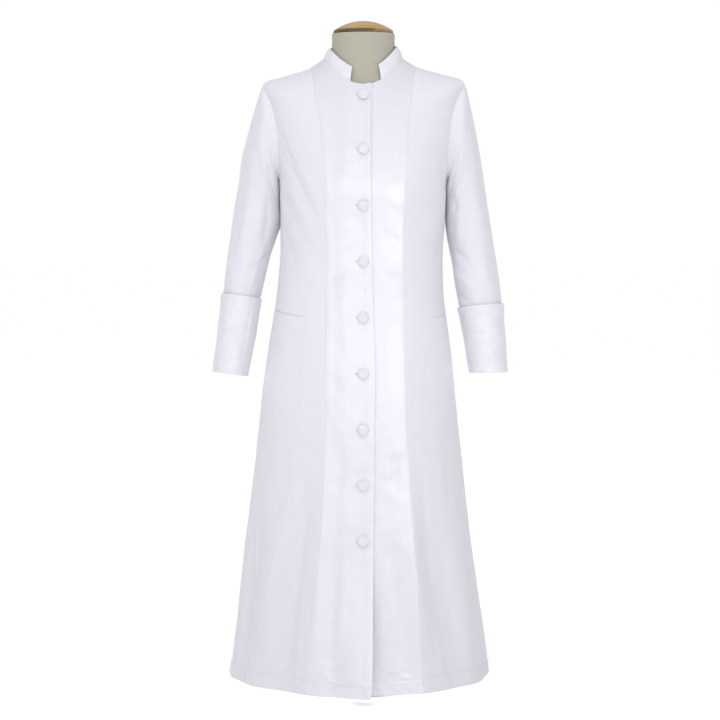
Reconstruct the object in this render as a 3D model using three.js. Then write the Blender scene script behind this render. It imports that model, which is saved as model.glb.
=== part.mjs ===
// A long white pulpit robe, buttoned down the front, worn by a limbless dress form on a stand.
// Millimetres, +Z up, the front faces -Y, and the wearer's right side is at -X.
// The origin is the centre of the stand's base, on the floor.
//
// The robe is cut as the real one is: two satin fronts that lap over each other, two plain side
// fronts, one back, two sleeves with turned-back satin cuffs, a satin stand collar open at the
// throat, two pocket welts and nine covered buttons. Every body panel lies on one shared surface,
// bodyPoint(angle, level), so that seams meet. An angle is 0 at the centre front, 90 at the
// wearer's left side, 180 at the centre back and -90 at the wearer's right side.

import * as THREE from "three";

// Cloth
const WALL = 1.8; // body and sleeve cloth
const STIFF_WALL = 2.2; // collar and cuffs, which are faced and interlined
const SEAM_GAP = 0.3; // between two pieces that are sewn together
const LAYER_GAP = 0.5; // between two layers that lie on each other

// One row for each section of the robe, from the hem to the neckline. side, front and back are the
// section's height at the side seam, the centre front and the centre back, and lower is how much
// less it is on the wearer's right side. right and left are its half-widths, ahead and behind its
// depths, and full is how much it bulges between them. seamRight, seamLeft and edge are the distances
// of the front seams and of the front edge from the centre. ease is the room between the robe and
// the form inside it.
const LEVEL_COLUMNS = [
  "side", "lower", "front", "back", "right", "left", "ahead",
  "behind", "full", "seamRight", "seamLeft", "edge", "ease",
];
const LEVELS = [
  [12, 0, 12, 12, 275, 258, 176, 190, -0.01, 117, 121, 14, 24],
  [60, 0, 60, 60, 267, 252, 172, 187, -0.01, 112, 117, 16, 24],
  [184, 0, 184, 184, 254, 236, 164, 178, 0, 100, 109, 18, 24],
  [311, 0, 311, 311, 240, 218, 157, 168, 0.01, 88, 102, 20, 24],
  [441, 0, 441, 441, 225, 205, 150, 158, 0.01, 79, 93, 21, 24],
  [575, 0, 575, 575, 211, 191, 145, 148, 0.02, 76, 85, 22, 24],
  [650, 0, 650, 650, 201, 184, 142, 142, 0.02, 75, 83, 23, 24],
  [724, 0, 724, 724, 190, 175, 137, 133, 0.03, 75, 82, 21, 25],
  [800, 0, 800, 800, 178, 165, 130, 120, 0.03, 75, 81, 19, 27],
  [880, 0, 880, 880, 170, 162, 122, 107, 0.03, 74, 80, 17, 28],
  [950, 0, 950, 950, 169, 166, 124, 104, 0.04, 74, 79, 15, 18],
  [1010, 0, 1010, 1010, 170, 169, 130, 107, 0.05, 76, 83, 15, 9],
  [1040, 0, 1040, 1040, 171, 170, 130, 110, 0.05, 77, 85, 15, 8],
  [1095, 1, 1090, 1095, 180, 180, 125, 113, 0.04, 80, 87, 15, 9],
  [1150, 2, 1130, 1150, 190, 190, 118, 112, 0.03, 84, 90, 15, 9],
  [1200, 3, 1160, 1200, 198, 198, 111, 107, 0.02, 88, 92, 15, 8],
  [1237, 4, 1180, 1236, 203, 204, 105, 98, 0, 93, 96, 15, 5],
  [1252, 4, 1196, 1256, 160, 160, 99, 89, 0, 97, 98, 15, 2.4],
  [1262, 3, 1208, 1268, 124, 124, 94, 81, 0, 101, 101, 15, 2.8],
  [1269, 2, 1215, 1277, 104, 104, 90.5, 76, 0, 104, 104, 15, 4.6],
  [1284, 0, 1228, 1291, 80, 80, 84, 67, 0, 80, 80, 15, 5.4],
].map((row) => Object.fromEntries(LEVEL_COLUMNS.map((name, i) => [name, row[i]])));
const UNDERARM = 12; // the level where the armholes begin
const SHOULDER_TIP = 16; // the level where they end
const SEAM_TOP = 19; // the level where the front seams reach the shoulder seam
const NECKLINE = 20;

// The skirt's soft folds, which begin at the height start, are fullest at FOLD_PEAK and run down to
// the hem. from and to are their angles at the start and at the hem. out is how far they stand out at
// the peak and hem is the same at the hem (a trough goes in). half is half their width as an angle.
const FOLD_PEAK = 190;
const FOLDS = [
  { start: 520, from: -21, to: -24, out: 5, hem: 2, half: 11 },
  { start: 500, from: -28, to: -40, out: -11, hem: -3, half: 13 },
  { start: 440, from: -46, to: -54, out: 7, hem: 3, half: 14 },
  { start: 440, from: -62, to: -68, out: -5, hem: -3, half: 13 },
  { start: 560, from: -76, to: -82, out: 4, hem: 3, half: 12 },
  { start: 500, from: 24, to: 30, out: 6, hem: 2, half: 11 },
  { start: 480, from: 31, to: 50, out: -12, hem: -3, half: 14 },
  { start: 440, from: 56, to: 64, out: 7, hem: 3, half: 13 },
  { start: 440, from: 72, to: 78, out: -4, hem: -2, half: 11 },
  { start: 640, from: 96, to: 99, out: 6, hem: 9, half: 14 },
  { start: 640, from: 114, to: 116, out: -9, hem: -10, half: 15 },
  { start: 740, from: 131, to: 132, out: 12, hem: 13, half: 15 },
  { start: 740, from: 149, to: 148, out: -12, hem: -12, half: 15 },
  { start: 760, from: 165, to: 164, out: 12, hem: 14, half: 15 },
  { start: 700, from: 181, to: 181, out: -13, hem: -13, half: 15 },
  { start: 760, from: 197, to: 198, out: 12, hem: 13, half: 15 },
  { start: 740, from: 213, to: 214, out: -12, hem: -12, half: 15 },
  { start: 740, from: 229, to: 230, out: 11, hem: 13, half: 15 },
  { start: 640, from: 246, to: 246, out: -9, hem: -9, half: 15 },
  { start: 640, from: 262, to: 262, out: 6, hem: 8, half: 14 },
];

// Front closing
const UNDERLAP = 22; // how far the lower front runs past the centre, to the wearer's right
const LAP_RAMP = { from: -62, to: -32 }; // where the upper front climbs onto the lower one
// Below the last button the fronts part: how far each stands out at the hem, and how wide of the edge
const FLARE = { start: 310, upper: 38, lower: -3, reach: -175, bend: -65 };

// Side seams, as angles at the underarm and at the hem
const SIDE_SEAM = { top: 90, rightHem: 80, leftHem: 86 };
const ARMHOLE_HALF = 25; // half the armhole's width, as an angle

// One row for each section of a sleeve, from just past the armhole seam to the wrist. The outer and
// inner points lie in the front view, y is the section's middle and depth its half-depth. The arm
// hangs a little forward, so that each section's front is raised by LEAN of its depth.
const LEAN = 0.09;
const SLEEVES = {
  right: [
    { outerX: -211, outerZ: 1212, innerX: -172.5, innerZ: 1034, y: 4, depth: 57 },
    { outerX: -223, outerZ: 1174, innerX: -173.5, innerZ: 1020, y: 10, depth: 63 },
    { outerX: -235, outerZ: 1132, innerX: -173, innerZ: 1005, y: 17, depth: 67 },
    { outerX: -249, outerZ: 1080, innerX: -171, innerZ: 985, y: 24, depth: 69 },
    { outerX: -259, outerZ: 1013, innerX: -170, innerZ: 950, y: 26, depth: 68 },
    { outerX: -267, outerZ: 962, innerX: -179, innerZ: 921, y: 22, depth: 66 },
    { outerX: -276, outerZ: 903, innerX: -192, innerZ: 879, y: 14, depth: 63 },
    { outerX: -284, outerZ: 846, innerX: -203, innerZ: 834, y: 4, depth: 60 },
    { outerX: -287.5, outerZ: 808, innerX: -212, innerZ: 797, y: -3, depth: 58 },
    { outerX: -293, outerZ: 757, innerX: -219, innerZ: 745, y: -10, depth: 57 },
    { outerX: -300, outerZ: 700, innerX: -229, innerZ: 689, y: -16, depth: 56 },
    { outerX: -306, outerZ: 654, innerX: -238, innerZ: 644, y: -20, depth: 55 },
  ],
  left: [
    { outerX: 211, outerZ: 1216, innerX: 171.5, innerZ: 1034, y: 4, depth: 57 },
    { outerX: 222, outerZ: 1172, innerX: 172.5, innerZ: 1020, y: 10, depth: 63 },
    { outerX: 233, outerZ: 1122, innerX: 172, innerZ: 1005, y: 17, depth: 67 },
    { outerX: 243, outerZ: 1068, innerX: 170, innerZ: 988, y: 24, depth: 69 },
    { outerX: 252, outerZ: 1009, innerX: 169, innerZ: 956, y: 26, depth: 68 },
    { outerX: 260, outerZ: 955, innerX: 172, innerZ: 925, y: 22, depth: 66 },
    { outerX: 269, outerZ: 898, innerX: 180, innerZ: 881, y: 14, depth: 63 },
    { outerX: 278, outerZ: 840, innerX: 187, innerZ: 832, y: 4, depth: 60 },
    { outerX: 283.5, outerZ: 787, innerX: 197, innerZ: 779, y: -4, depth: 58 },
    { outerX: 287, outerZ: 745, innerX: 204, innerZ: 739, y: -9, depth: 57 },
    { outerX: 290.5, outerZ: 697, innerX: 212, innerZ: 694, y: -14, depth: 56 },
    { outerX: 293, outerZ: 652, innerX: 219, innerZ: 651, y: -18, depth: 55 },
  ],
};
// The cuff runs from one sleeve section to another and past its end, and stands off the sleeve
const CUFF = { top: 9, bottom: 12, past: 5, stand: 0.6, mouth: 1.6 };

// Stand collar: its upper edge as a ring, and the open throat
const COLLAR = { foot: 0.025, side: 1309, front: 1259, back: 1325, half: 69, ahead: 73, behind: 62, bow: 1.5 };
const THROAT = { right: -26, left: 35 }; // the collar's two ends

const BUTTON = { radius: 11.2, height: 6, lift: 0.6, count: 9, fromNeck: 24, spacing: 111.4 };
// Pocket welts: the side front's columns that they span, and their middle's height at both ends
const WELT = { tall: 9, lift: 0.4, wall: 1.4 };
const WELT_SPANS = {
  right: { from: 1, to: 9, outerZ: 782, innerZ: 772 },
  left: { from: 1, to: 8, outerZ: 771, innerZ: 768 },
};

// Dress form and stand
const FORM_BOTTOM = 5.4; // the level where the torso ends
// The neck's rings: share is their height between the torso and the cap, drawn how far they are drawn
// in to the neck's own section
const NECK = {
  half: 63.5,
  ahead: 66,
  behind: 57,
  top: 1333,
  rings: [
    { share: 0.12, drawn: 0.55 },
    { share: 0.3, drawn: 0.88 },
    { share: 0.6, drawn: 1.01 },
    { share: 1, drawn: 1 },
  ],
};
const CAP = { half: 60.8, ahead: 63, behind: 54, rim: 7, tall: 26 };
const POLE = { radius: 14, sides: 24 };
const BASE = { radius: 140, thick: 9, dome: 6, socket: 24, tall: 33, bevel: 2, sides: 40 };

// Rows of every body panel: levels up to the underarm, then equal steps up to the shoulder
const LOWER_ROWS = [0, 1, 1.5, 2, 2.5, 3, 3.5, 4, 4.5, 5, 6, 7, 8, 9, 10, 11, UNDERARM];
const UPPER_STEPS = 12;
const ROWS = LOWER_ROWS.length - 1 + UPPER_STEPS;
const COLUMNS = { front: 10, sideFront: 12, backShoulder: 8, backNeck: 16 };
const SHOULDER_COLUMNS = 2; // of a satin front, along its short stretch of shoulder seam

const radians = THREE.MathUtils.degToRad;
const smooth = (low, high, x) => {
  const share = THREE.MathUtils.clamp((x - low) / (high - low), 0, 1);
  return share * share * (3 - 2 * share);
};
const mix = (a, b, share) => a + (b - a) * share;

// A smooth curve through rows of numbers, at a fractional row
function through(count, valueOf, t) {
  const row = THREE.MathUtils.clamp(Math.floor(t), 0, count - 2);
  const f = t - row;
  const b = valueOf(row);
  const c = valueOf(row + 1);
  const a = row > 0 ? valueOf(row - 1) : 2 * b - c;
  const d = row < count - 2 ? valueOf(row + 2) : 2 * c - b;
  return b + 0.5 * f * (c - a + f * (2 * a - 5 * b + 4 * c - d + f * (3 * (b - c) + d - a)));
}
const level = (column, t) => through(LEVELS.length, (row) => LEVELS[row][column], t);

// How far the skirt's folds move a point out
function foldOut(angle, height) {
  return FOLDS.reduce((sum, fold) => {
    const run = THREE.MathUtils.clamp((fold.start - height) / (fold.start - LEVELS[0].side), 0, 1);
    const middle = mix(fold.from, fold.to, run);
    const away = Math.abs((((angle - middle + 540) % 360) - 180) / fold.half);
    if (away >= 1) return sum;
    const out = mix(fold.out, fold.hem, smooth(FOLD_PEAK, LEVELS[0].side, height));
    return sum + out * smooth(fold.start, FOLD_PEAK, height) * Math.cos((away * Math.PI) / 2) ** 2;
  }, 0);
}

// A point of the smooth body surface, before folds
function ringPoint(angle, t) {
  const s = Math.sin(radians(angle));
  const c = Math.cos(radians(angle));
  const bulge = 1 + level("full", t) * Math.sin(radians(2 * angle)) ** 2;
  const half = level(s < 0 ? "right" : "left", t);
  const depth = level(c > 0 ? "ahead" : "behind", t);
  const side = level("side", t) - (s < 0 ? level("lower", t) : 0);
  const end = level(c > 0 ? "front" : "back", t);
  return new THREE.Vector3(half * s * bulge, -depth * c * bulge, mix(side, end, c * c));
}

// A normal from a surface's two directions, by small steps
const STEP = { angle: 0.2, level: 0.01 };
function normalOf(pointAt, u, v, du = STEP.angle, dv = STEP.level) {
  const along = pointAt(u + du, v).sub(pointAt(u - du, v));
  const up = pointAt(u, v + dv).sub(pointAt(u, v - dv));
  return along.cross(up).normalize();
}
const insideLevels = (t) => THREE.MathUtils.clamp(t, STEP.level, NECKLINE - STEP.level);
const ringNormal = (angle, t) => normalOf(ringPoint, angle, insideLevels(t));

// The body surface with its folds
function bodyPoint(angle, t) {
  const point = ringPoint(angle, t);
  const out = foldOut(angle, point.z);
  return out ? point.addScaledVector(ringNormal(angle, t).setZ(0).normalize(), out) : point;
}
const bodyNormal = (angle, t) => normalOf(bodyPoint, angle, insideLevels(t));

// The angle at which a section is this far from the centre plane
function angleAt(x, t) {
  const half = level(x < 0 ? "right" : "left", t);
  let angle = (Math.asin(THREE.MathUtils.clamp(x / half, -1, 1)) * 180) / Math.PI;
  for (let turn = 0; turn < 4; turn += 1) {
    const bulge = 1 + level("full", t) * Math.sin(radians(2 * angle)) ** 2;
    angle = (Math.asin(THREE.MathUtils.clamp(x / half / bulge, -1, 1)) * 180) / Math.PI;
  }
  return angle;
}

// How far a front panel stands off the body surface: lapped over the other, and parted at the hem
function upperFrontLift(x, z) {
  const parted = smooth(FLARE.start, LEVELS[0].side - 40, z);
  const lapped = (WALL + LAYER_GAP) * smooth(LAP_RAMP.from, LAP_RAMP.to, x);
  const spread = smooth(FLARE.reach, FLARE.bend, x) + smooth(FLARE.bend, LEVELS[0].edge, x);
  return lapped + (FLARE.upper * parted * spread) / 2;
}
function lowerFrontLift(x, z) {
  return FLARE.lower * smooth(FLARE.start, LEVELS[0].side, z) * smooth(70, -UNDERLAP, x);
}

// Row k of a seam, whose upper end lies at the level top
function rowLevel(k, top) {
  const lower = LOWER_ROWS.length - 1;
  return k <= lower ? LOWER_ROWS[k] : mix(UNDERARM, top, (k - lower) / UPPER_STEPS);
}

// The seams, as an angle and a level for each row. sign is -1 on the wearer's right.
const frontSeam = (sign) => (k) => {
  const t = rowLevel(k, SEAM_TOP);
  const x = level(sign < 0 ? "seamRight" : "seamLeft", t);
  return { angle: k === ROWS ? sign * 90 : angleAt(sign * x, t), t };
};
const upperEdge = (k) => {
  const t = rowLevel(k, NECKLINE);
  return { angle: angleAt(level("edge", t), t), t };
};
const lowerEdge = (k) => {
  const t = rowLevel(k, NECKLINE);
  return { angle: angleAt(-UNDERLAP, t), t };
};
// The side seam, and above it the armhole's front (facing 1) or back (facing -1)
const sideSeam = (sign, facing) => (k) => {
  const lower = LOWER_ROWS.length - 1;
  if (k <= lower) {
    const hem = sign < 0 ? SIDE_SEAM.rightHem : SIDE_SEAM.leftHem;
    return { angle: sign * mix(hem, SIDE_SEAM.top, LOWER_ROWS[k] / UNDERARM), t: LOWER_ROWS[k] };
  }
  const turn = Math.PI * (1 - (k - lower) / UPPER_STEPS);
  return {
    angle: sign * (90 - facing * ARMHOLE_HALF * Math.sin(turn)),
    t: mix(UNDERARM, SHOULDER_TIP, (1 + Math.cos(turn)) / 2),
  };
};
const turned = (place) => ({ angle: place.angle < 0 ? place.angle + 360 : place.angle, t: place.t });

// A grid of places between two seams. Where topAt gives the top row, the rows below it bend to it.
function placesBetween(first, last, columns, topAt) {
  const places = [];
  for (let k = 0; k <= ROWS; k += 1) {
    const a = first(k);
    const b = last(k);
    const lower = LOWER_ROWS.length - 1;
    const bend = topAt && k > lower ? ((k - lower) / UPPER_STEPS) ** 2 : 0;
    const row = [];
    for (let i = 0; i <= columns; i += 1) {
      const share = i / columns;
      const place = { angle: mix(a.angle, b.angle, share), t: mix(a.t, b.t, share) };
      if (bend) {
        const straight = {
          angle: mix(first(ROWS).angle, last(ROWS).angle, share),
          t: mix(first(ROWS).t, last(ROWS).t, share),
        };
        const top = topAt(i);
        place.angle += bend * (top.angle - straight.angle);
        place.t += bend * (top.t - straight.t);
      }
      row.push(place);
    }
    places.push(row);
  }
  return places;
}

// Closed geometry from an outer and an inner grid of points. closed joins the last column to the first.
function wallGeometry(outer, inner, closed = false) {
  const rows = outer.length;
  const columns = outer[0].length;
  const points = [...outer.flat(), ...inner.flat()];
  const at = (row, column, side) => side * rows * columns + row * columns + (column % columns);
  const faces = [];
  // Four corners in order, split along the shorter diagonal
  const quad = (a, b, c, d) => {
    const across = points[a].distanceTo(points[c]) <= points[b].distanceTo(points[d]);
    faces.push(...(across ? [[a, b, c], [a, c, d]] : [[a, b, d], [b, c, d]]));
  };
  const spans = closed ? columns : columns - 1;
  for (let row = 0; row < rows - 1; row += 1) {
    for (let column = 0; column < spans; column += 1) {
      quad(at(row, column, 0), at(row, column + 1, 0), at(row + 1, column + 1, 0), at(row + 1, column, 0));
      quad(at(row, column, 1), at(row + 1, column, 1), at(row + 1, column + 1, 1), at(row, column + 1, 1));
    }
    if (!closed) {
      quad(at(row, 0, 0), at(row + 1, 0, 0), at(row + 1, 0, 1), at(row, 0, 1));
      const end = columns - 1;
      quad(at(row, end, 0), at(row, end, 1), at(row + 1, end, 1), at(row + 1, end, 0));
    }
  }
  for (let column = 0; column < spans; column += 1) {
    quad(at(0, column, 0), at(0, column, 1), at(0, column + 1, 1), at(0, column + 1, 0));
    const top = rows - 1;
    quad(at(top, column, 0), at(top, column + 1, 0), at(top, column + 1, 1), at(top, column, 1));
  }
  return solidGeometry(points, faces);
}

// Closed geometry from points and triangles, turned so that its faces point out
function solidGeometry(points, faces) {
  const volume = faces.reduce(
    (sum, [a, b, c]) => sum + points[a].dot(points[b].clone().cross(points[c])),
    0,
  );
  const index = volume < 0 ? faces.flatMap(([a, b, c]) => [a, c, b]) : faces.flat();
  const geometry = new THREE.BufferGeometry();
  geometry.setAttribute("position", new THREE.Float32BufferAttribute(points.flatMap((p) => p.toArray()), 3));
  geometry.setIndex(index);
  geometry.computeVertexNormals();
  return geometry;
}

// Moves the outer columns and the top row of a grid in by half a seam gap, along the cloth
function trimSeams(grid, normals, sides, top) {
  const rows = grid.length;
  const last = grid[0].length - 1;
  const trimmed = grid.map((row) => row.map((point) => point.clone()));
  const along = (row, from, to) =>
    grid[row][to].clone().sub(grid[row][from]).projectOnPlane(normals[row][from]).normalize();
  for (let row = 0; row < rows; row += 1) {
    if (sides.first) trimmed[row][0].addScaledVector(along(row, 0, 1), SEAM_GAP / 2);
    if (sides.last) trimmed[row][last].addScaledVector(along(row, last, last - 1), SEAM_GAP / 2);
  }
  if (top) {
    for (let i = 0; i <= last; i += 1) {
      const down = grid[rows - 2][i].clone().sub(grid[rows - 1][i]).projectOnPlane(normals[rows - 1][i]);
      trimmed[rows - 1][i].addScaledVector(down.normalize(), SEAM_GAP / 2);
    }
  }
  return trimmed;
}

// A body panel: its outer points, its normals and its geometry
function bodyPanel(places, lift, sides) {
  const normals = places.map((row) => row.map(({ angle, t }) => bodyNormal(angle, t)));
  const smoothGrid = places.map((row, k) =>
    row.map(({ angle, t }, i) => {
      const point = bodyPoint(angle, t);
      return point.addScaledVector(normals[k][i], lift ? lift(point.x, point.z) : 0);
    }),
  );
  const outer = trimSeams(smoothGrid, normals, sides, true);
  const inner = outer.map((row, k) => row.map((p, i) => p.clone().addScaledVector(normals[k][i], -WALL)));
  return { outer, normals, geometry: wallGeometry(outer, inner) };
}

function frontPanel(sign) {
  const upper = sign < 0;
  const seam = frontSeam(sign);
  const edge = upper ? upperEdge : lowerEdge;
  const edgeTop = edge(ROWS);
  const neckColumns = COLUMNS.front - SHOULDER_COLUMNS;
  // The top row runs along the shoulder seam to the neck point, and then along the neckline
  const topAt = (steps) =>
    steps <= SHOULDER_COLUMNS
      ? { angle: sign * 90, t: mix(SEAM_TOP, NECKLINE, steps / SHOULDER_COLUMNS) }
      : { angle: mix(sign * 90, edgeTop.angle, (steps - SHOULDER_COLUMNS) / neckColumns), t: NECKLINE };
  return upper
    ? bodyPanel(placesBetween(seam, edge, COLUMNS.front, topAt), upperFrontLift, { first: true })
    : bodyPanel(
        placesBetween(edge, seam, COLUMNS.front, (i) => topAt(COLUMNS.front - i)),
        lowerFrontLift,
        { last: true },
      );
}

function sideFrontPanel(sign) {
  const seams = [frontSeam(sign), sideSeam(sign, 1)];
  if (sign < 0) seams.reverse();
  const places = placesBetween(seams[0], seams[1], COLUMNS.sideFront);
  return bodyPanel(places, sign < 0 ? upperFrontLift : null, { first: true, last: true });
}

function backPanel() {
  const columns = 2 * COLUMNS.backShoulder + COLUMNS.backNeck;
  const topAt = (i) => {
    const fromEnd = Math.min(i, columns - i);
    if (fromEnd < COLUMNS.backShoulder) {
      const t = mix(SHOULDER_TIP, NECKLINE, fromEnd / COLUMNS.backShoulder);
      return { angle: i < columns / 2 ? 90 : 270, t };
    }
    return { angle: mix(90, 270, (i - COLUMNS.backShoulder) / COLUMNS.backNeck), t: NECKLINE };
  };
  const last = (k) => turned(sideSeam(-1, -1)(k));
  const places = placesBetween(sideSeam(1, -1), last, columns, topAt);
  return bodyPanel(places, null, { first: true, last: true });
}

// The armhole as a loop of points, from the shoulder tip down the front and up the back
function armholeLoop(sign) {
  const lower = LOWER_ROWS.length - 1;
  const loop = [];
  for (let k = ROWS; k > lower; k -= 1) loop.push(sideSeam(sign, 1)(k));
  for (let k = lower; k < ROWS; k += 1) loop.push(sideSeam(sign, -1)(k));
  const points = loop.map(({ angle, t }) => bodyPoint(angle, t));
  const middle = points.reduce((sum, p) => sum.add(p), new THREE.Vector3()).divideScalar(points.length);
  const out = new THREE.Vector3(sign * SEAM_GAP, 0, 0);
  return points.map((p) => {
    const inward = middle.clone().sub(p).setLength(2 * SEAM_GAP);
    return p.clone().add(inward).add(out);
  });
}

// Rings of a sleeve, each with as many points as the armhole loop, and its normals
function sleeveRings(name) {
  const sign = name === "right" ? -1 : 1;
  const loop = armholeLoop(sign);
  const count = loop.length;
  const rings = [loop];
  for (const section of SLEEVES[name]) {
    const outer = new THREE.Vector3(section.outerX, section.y, section.outerZ);
    const inner = new THREE.Vector3(section.innerX, section.y, section.innerZ);
    const middle = outer.clone().add(inner).divideScalar(2);
    const arm = outer.clone().sub(middle);
    rings.push(
      loop.map((_, i) => {
        const turn = (2 * Math.PI * i) / count;
        const point = middle.clone().addScaledVector(arm, Math.cos(turn));
        const ahead = section.depth * Math.sin(turn);
        return point.add(new THREE.Vector3(0, -ahead, LEAN * ahead));
      }),
    );
  }
  const normals = rings.map((ring, row) =>
    ring.map((_, i) => {
      const around = ring[(i + 1) % count].clone().sub(ring[(i + count - 1) % count]);
      const down = rings[Math.min(row + 1, rings.length - 1)][i].clone().sub(rings[Math.max(row - 1, 0)][i]);
      return sign < 0 ? down.cross(around).normalize() : around.cross(down).normalize();
    }),
  );
  return { rings, normals };
}

const moved = (rings, normals, distanceOf) =>
  rings.map((ring, row) => ring.map((p, i) => p.clone().addScaledVector(normals[row][i], distanceOf(row))));

function sleeveGeometry(name) {
  const { rings, normals } = sleeveRings(name);
  return wallGeometry(rings, moved(rings, normals, () => -WALL), true);
}

// The cuff is turned back over the sleeve's end: its rings are the sleeve's own, moved out
function cuffGeometry(name) {
  const { rings, normals } = sleeveRings(name);
  const part = rings.slice(CUFF.top, CUFF.bottom + 1);
  const facing = normals.slice(CUFF.top, CUFF.bottom + 1);
  const down = part.at(-1)[0].clone().sub(part.at(-2)[0]).setLength(CUFF.past);
  part.push(part.at(-1).map((p) => p.clone().add(down)));
  facing.push(facing.at(-1));
  const standOff = (row) => CUFF.stand + (row === 0 ? CUFF.mouth : 0);
  const inner = moved(part, facing, standOff);
  const outer = moved(part, facing, (row) => standOff(row) + STIFF_WALL);
  return wallGeometry(outer, inner, true);
}

// A point of the collar, from its seam at the neckline (0) to its upper edge (1)
function collarPoint(angle, share) {
  const s = Math.sin(radians(angle));
  const c = Math.cos(radians(angle));
  const low = bodyPoint(angle, NECKLINE);
  const depth = c > 0 ? COLLAR.ahead : COLLAR.behind;
  const height = mix(COLLAR.side, c > 0 ? COLLAR.front : COLLAR.back, c * c);
  const high = new THREE.Vector3(COLLAR.half * s, -depth * c, height);
  const bowed = COLLAR.bow * Math.sin(Math.PI * share);
  return low.lerp(high, share).add(new THREE.Vector3(s * bowed, -c * bowed, 0));
}

function collarGeometry() {
  const from = angleAt(THROAT.left, NECKLINE);
  const to = 360 + angleAt(THROAT.right, NECKLINE);
  const spans = 32;
  const rows = 3;
  const outer = [];
  const inner = [];
  for (let row = 0; row <= rows; row += 1) {
    const share = mix(COLLAR.foot, 1, row / rows);
    const angles = Array.from({ length: spans + 1 }, (_, i) => mix(from, to, i / spans));
    const points = angles.map((angle) => collarPoint(angle, share));
    const normals = angles.map((angle) => normalOf(collarPoint, angle, share));
    outer.push(points);
    inner.push(points.map((p, i) => p.clone().addScaledVector(normals[i].setZ(0).normalize(), -STIFF_WALL)));
  }
  return wallGeometry(outer, inner);
}

// A narrow strip on a side front, made from the panel's own points and moved out
function weltGeometry(panel, span, mirrored) {
  const last = panel.outer[0].length - 1;
  const heightAt = (row, column) => panel.outer[row][column].z;
  const outer = [];
  const inner = [];
  for (const edge of [-WELT.tall / 2, WELT.tall / 2]) {
    const low = [];
    const high = [];
    for (let i = span.from; i <= span.to; i += 1) {
      const column = mirrored ? i : last - i;
      const z = edge + mix(span.outerZ, span.innerZ, (i - span.from) / (span.to - span.from));
      let row = 0;
      while (heightAt(row + 1, column) < z) row += 1;
      const share = (z - heightAt(row, column)) / (heightAt(row + 1, column) - heightAt(row, column));
      const point = panel.outer[row][column].clone().lerp(panel.outer[row + 1][column], share);
      const normal = panel.normals[row][column].clone().lerp(panel.normals[row + 1][column], share);
      low.push(point.clone().addScaledVector(normal, WELT.lift));
      high.push(point.clone().addScaledVector(normal, WELT.lift + WELT.wall));
    }
    outer.push(high);
    inner.push(low);
  }
  return wallGeometry(outer, inner);
}

// A cloth-covered button, lying on its back in the XY plane
function buttonGeometry() {
  const { radius, height } = BUTTON;
  const profile = [
    [0, 0],
    [radius * 0.45, 0],
    [radius * 0.88, height * 0.18],
    [radius, height * 0.42],
    [radius * 0.87, height * 0.74],
    [radius * 0.5, height * 0.94],
    [0, height],
  ].map(([r, z]) => new THREE.Vector2(r, z));
  return new THREE.LatheGeometry(profile, 14).rotateX(Math.PI / 2);
}

// Where the buttons sit: equal steps along the upper front, down its middle
function buttonPlaces() {
  const stepLevel = 0.005;
  const surface = (t) => {
    const angle = angleAt(0, t);
    const point = bodyPoint(angle, t);
    const normal = bodyNormal(angle, t);
    return { point: point.addScaledVector(normal, upperFrontLift(0, point.z)), normal };
  };
  const places = [];
  let t = NECKLINE;
  let here = surface(t);
  let walked = 0;
  while (places.length < BUTTON.count) {
    t -= stepLevel;
    const next = surface(t);
    walked += next.point.distanceTo(here.point);
    here = next;
    if (walked >= BUTTON.fromNeck + places.length * BUTTON.spacing) places.push(here);
  }
  return places;
}

// The dress form: the robe's own rings drawn in by the cloth and the ease, closed at the hips, with
// a straight neck on top
function formGeometry() {
  const sides = 32;
  const torsoLevels = [FORM_BOTTOM, 6, 7, 8, 9, 10, 11, 12, 13, 14, 15, 15.6];
  const shoulderLevels = [16, 16.5, 17, 17.5, 18, 18.5, 19, 19.5, NECKLINE];
  const levels = [...torsoLevels, ...shoulderLevels];
  const angles = Array.from({ length: sides }, (_, i) => (360 * i) / sides);
  const rings = levels.map((t) =>
    angles.map((angle) => {
      const drawnIn = WALL + level("ease", t);
      const point = ringPoint(angle, t).addScaledVector(ringNormal(angle, t), -drawnIn);
      return t === FORM_BOTTOM ? point.setZ(level("side", t)) : point;
    }),
  );
  const collarSeat = rings.at(-1);
  for (const { share, drawn } of NECK.rings) {
    rings.push(
      angles.map((angle, i) => {
        const s = Math.sin(radians(angle));
        const c = Math.cos(radians(angle));
        const low = collarSeat[i];
        const depth = c > 0 ? NECK.ahead : NECK.behind;
        return new THREE.Vector3(
          mix(low.x, NECK.half * s, drawn),
          mix(low.y, -depth * c, drawn),
          mix(low.z, NECK.top, share),
        );
      }),
    );
  }
  return stackGeometry(rings);
}

// Closed geometry from a stack of rings, with a flat end at the bottom and the top
function stackGeometry(rings) {
  const count = rings[0].length;
  const points = rings.flat();
  const middleOf = (ring) => ring.reduce((sum, p) => sum.add(p), new THREE.Vector3()).divideScalar(count);
  const bottom = points.push(middleOf(rings[0])) - 1;
  const top = points.push(middleOf(rings.at(-1))) - 1;
  const faces = [];
  for (let i = 0; i < count; i += 1) {
    const next = (i + 1) % count;
    for (let row = 0; row < rings.length - 1; row += 1) {
      const low = row * count;
      faces.push([low + i, low + next, low + count + next], [low + i, low + count + next, low + count + i]);
    }
    const last = (rings.length - 1) * count;
    faces.push([bottom, next, i], [top, last + i, last + next]);
  }
  return solidGeometry(points, faces);
}

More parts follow.
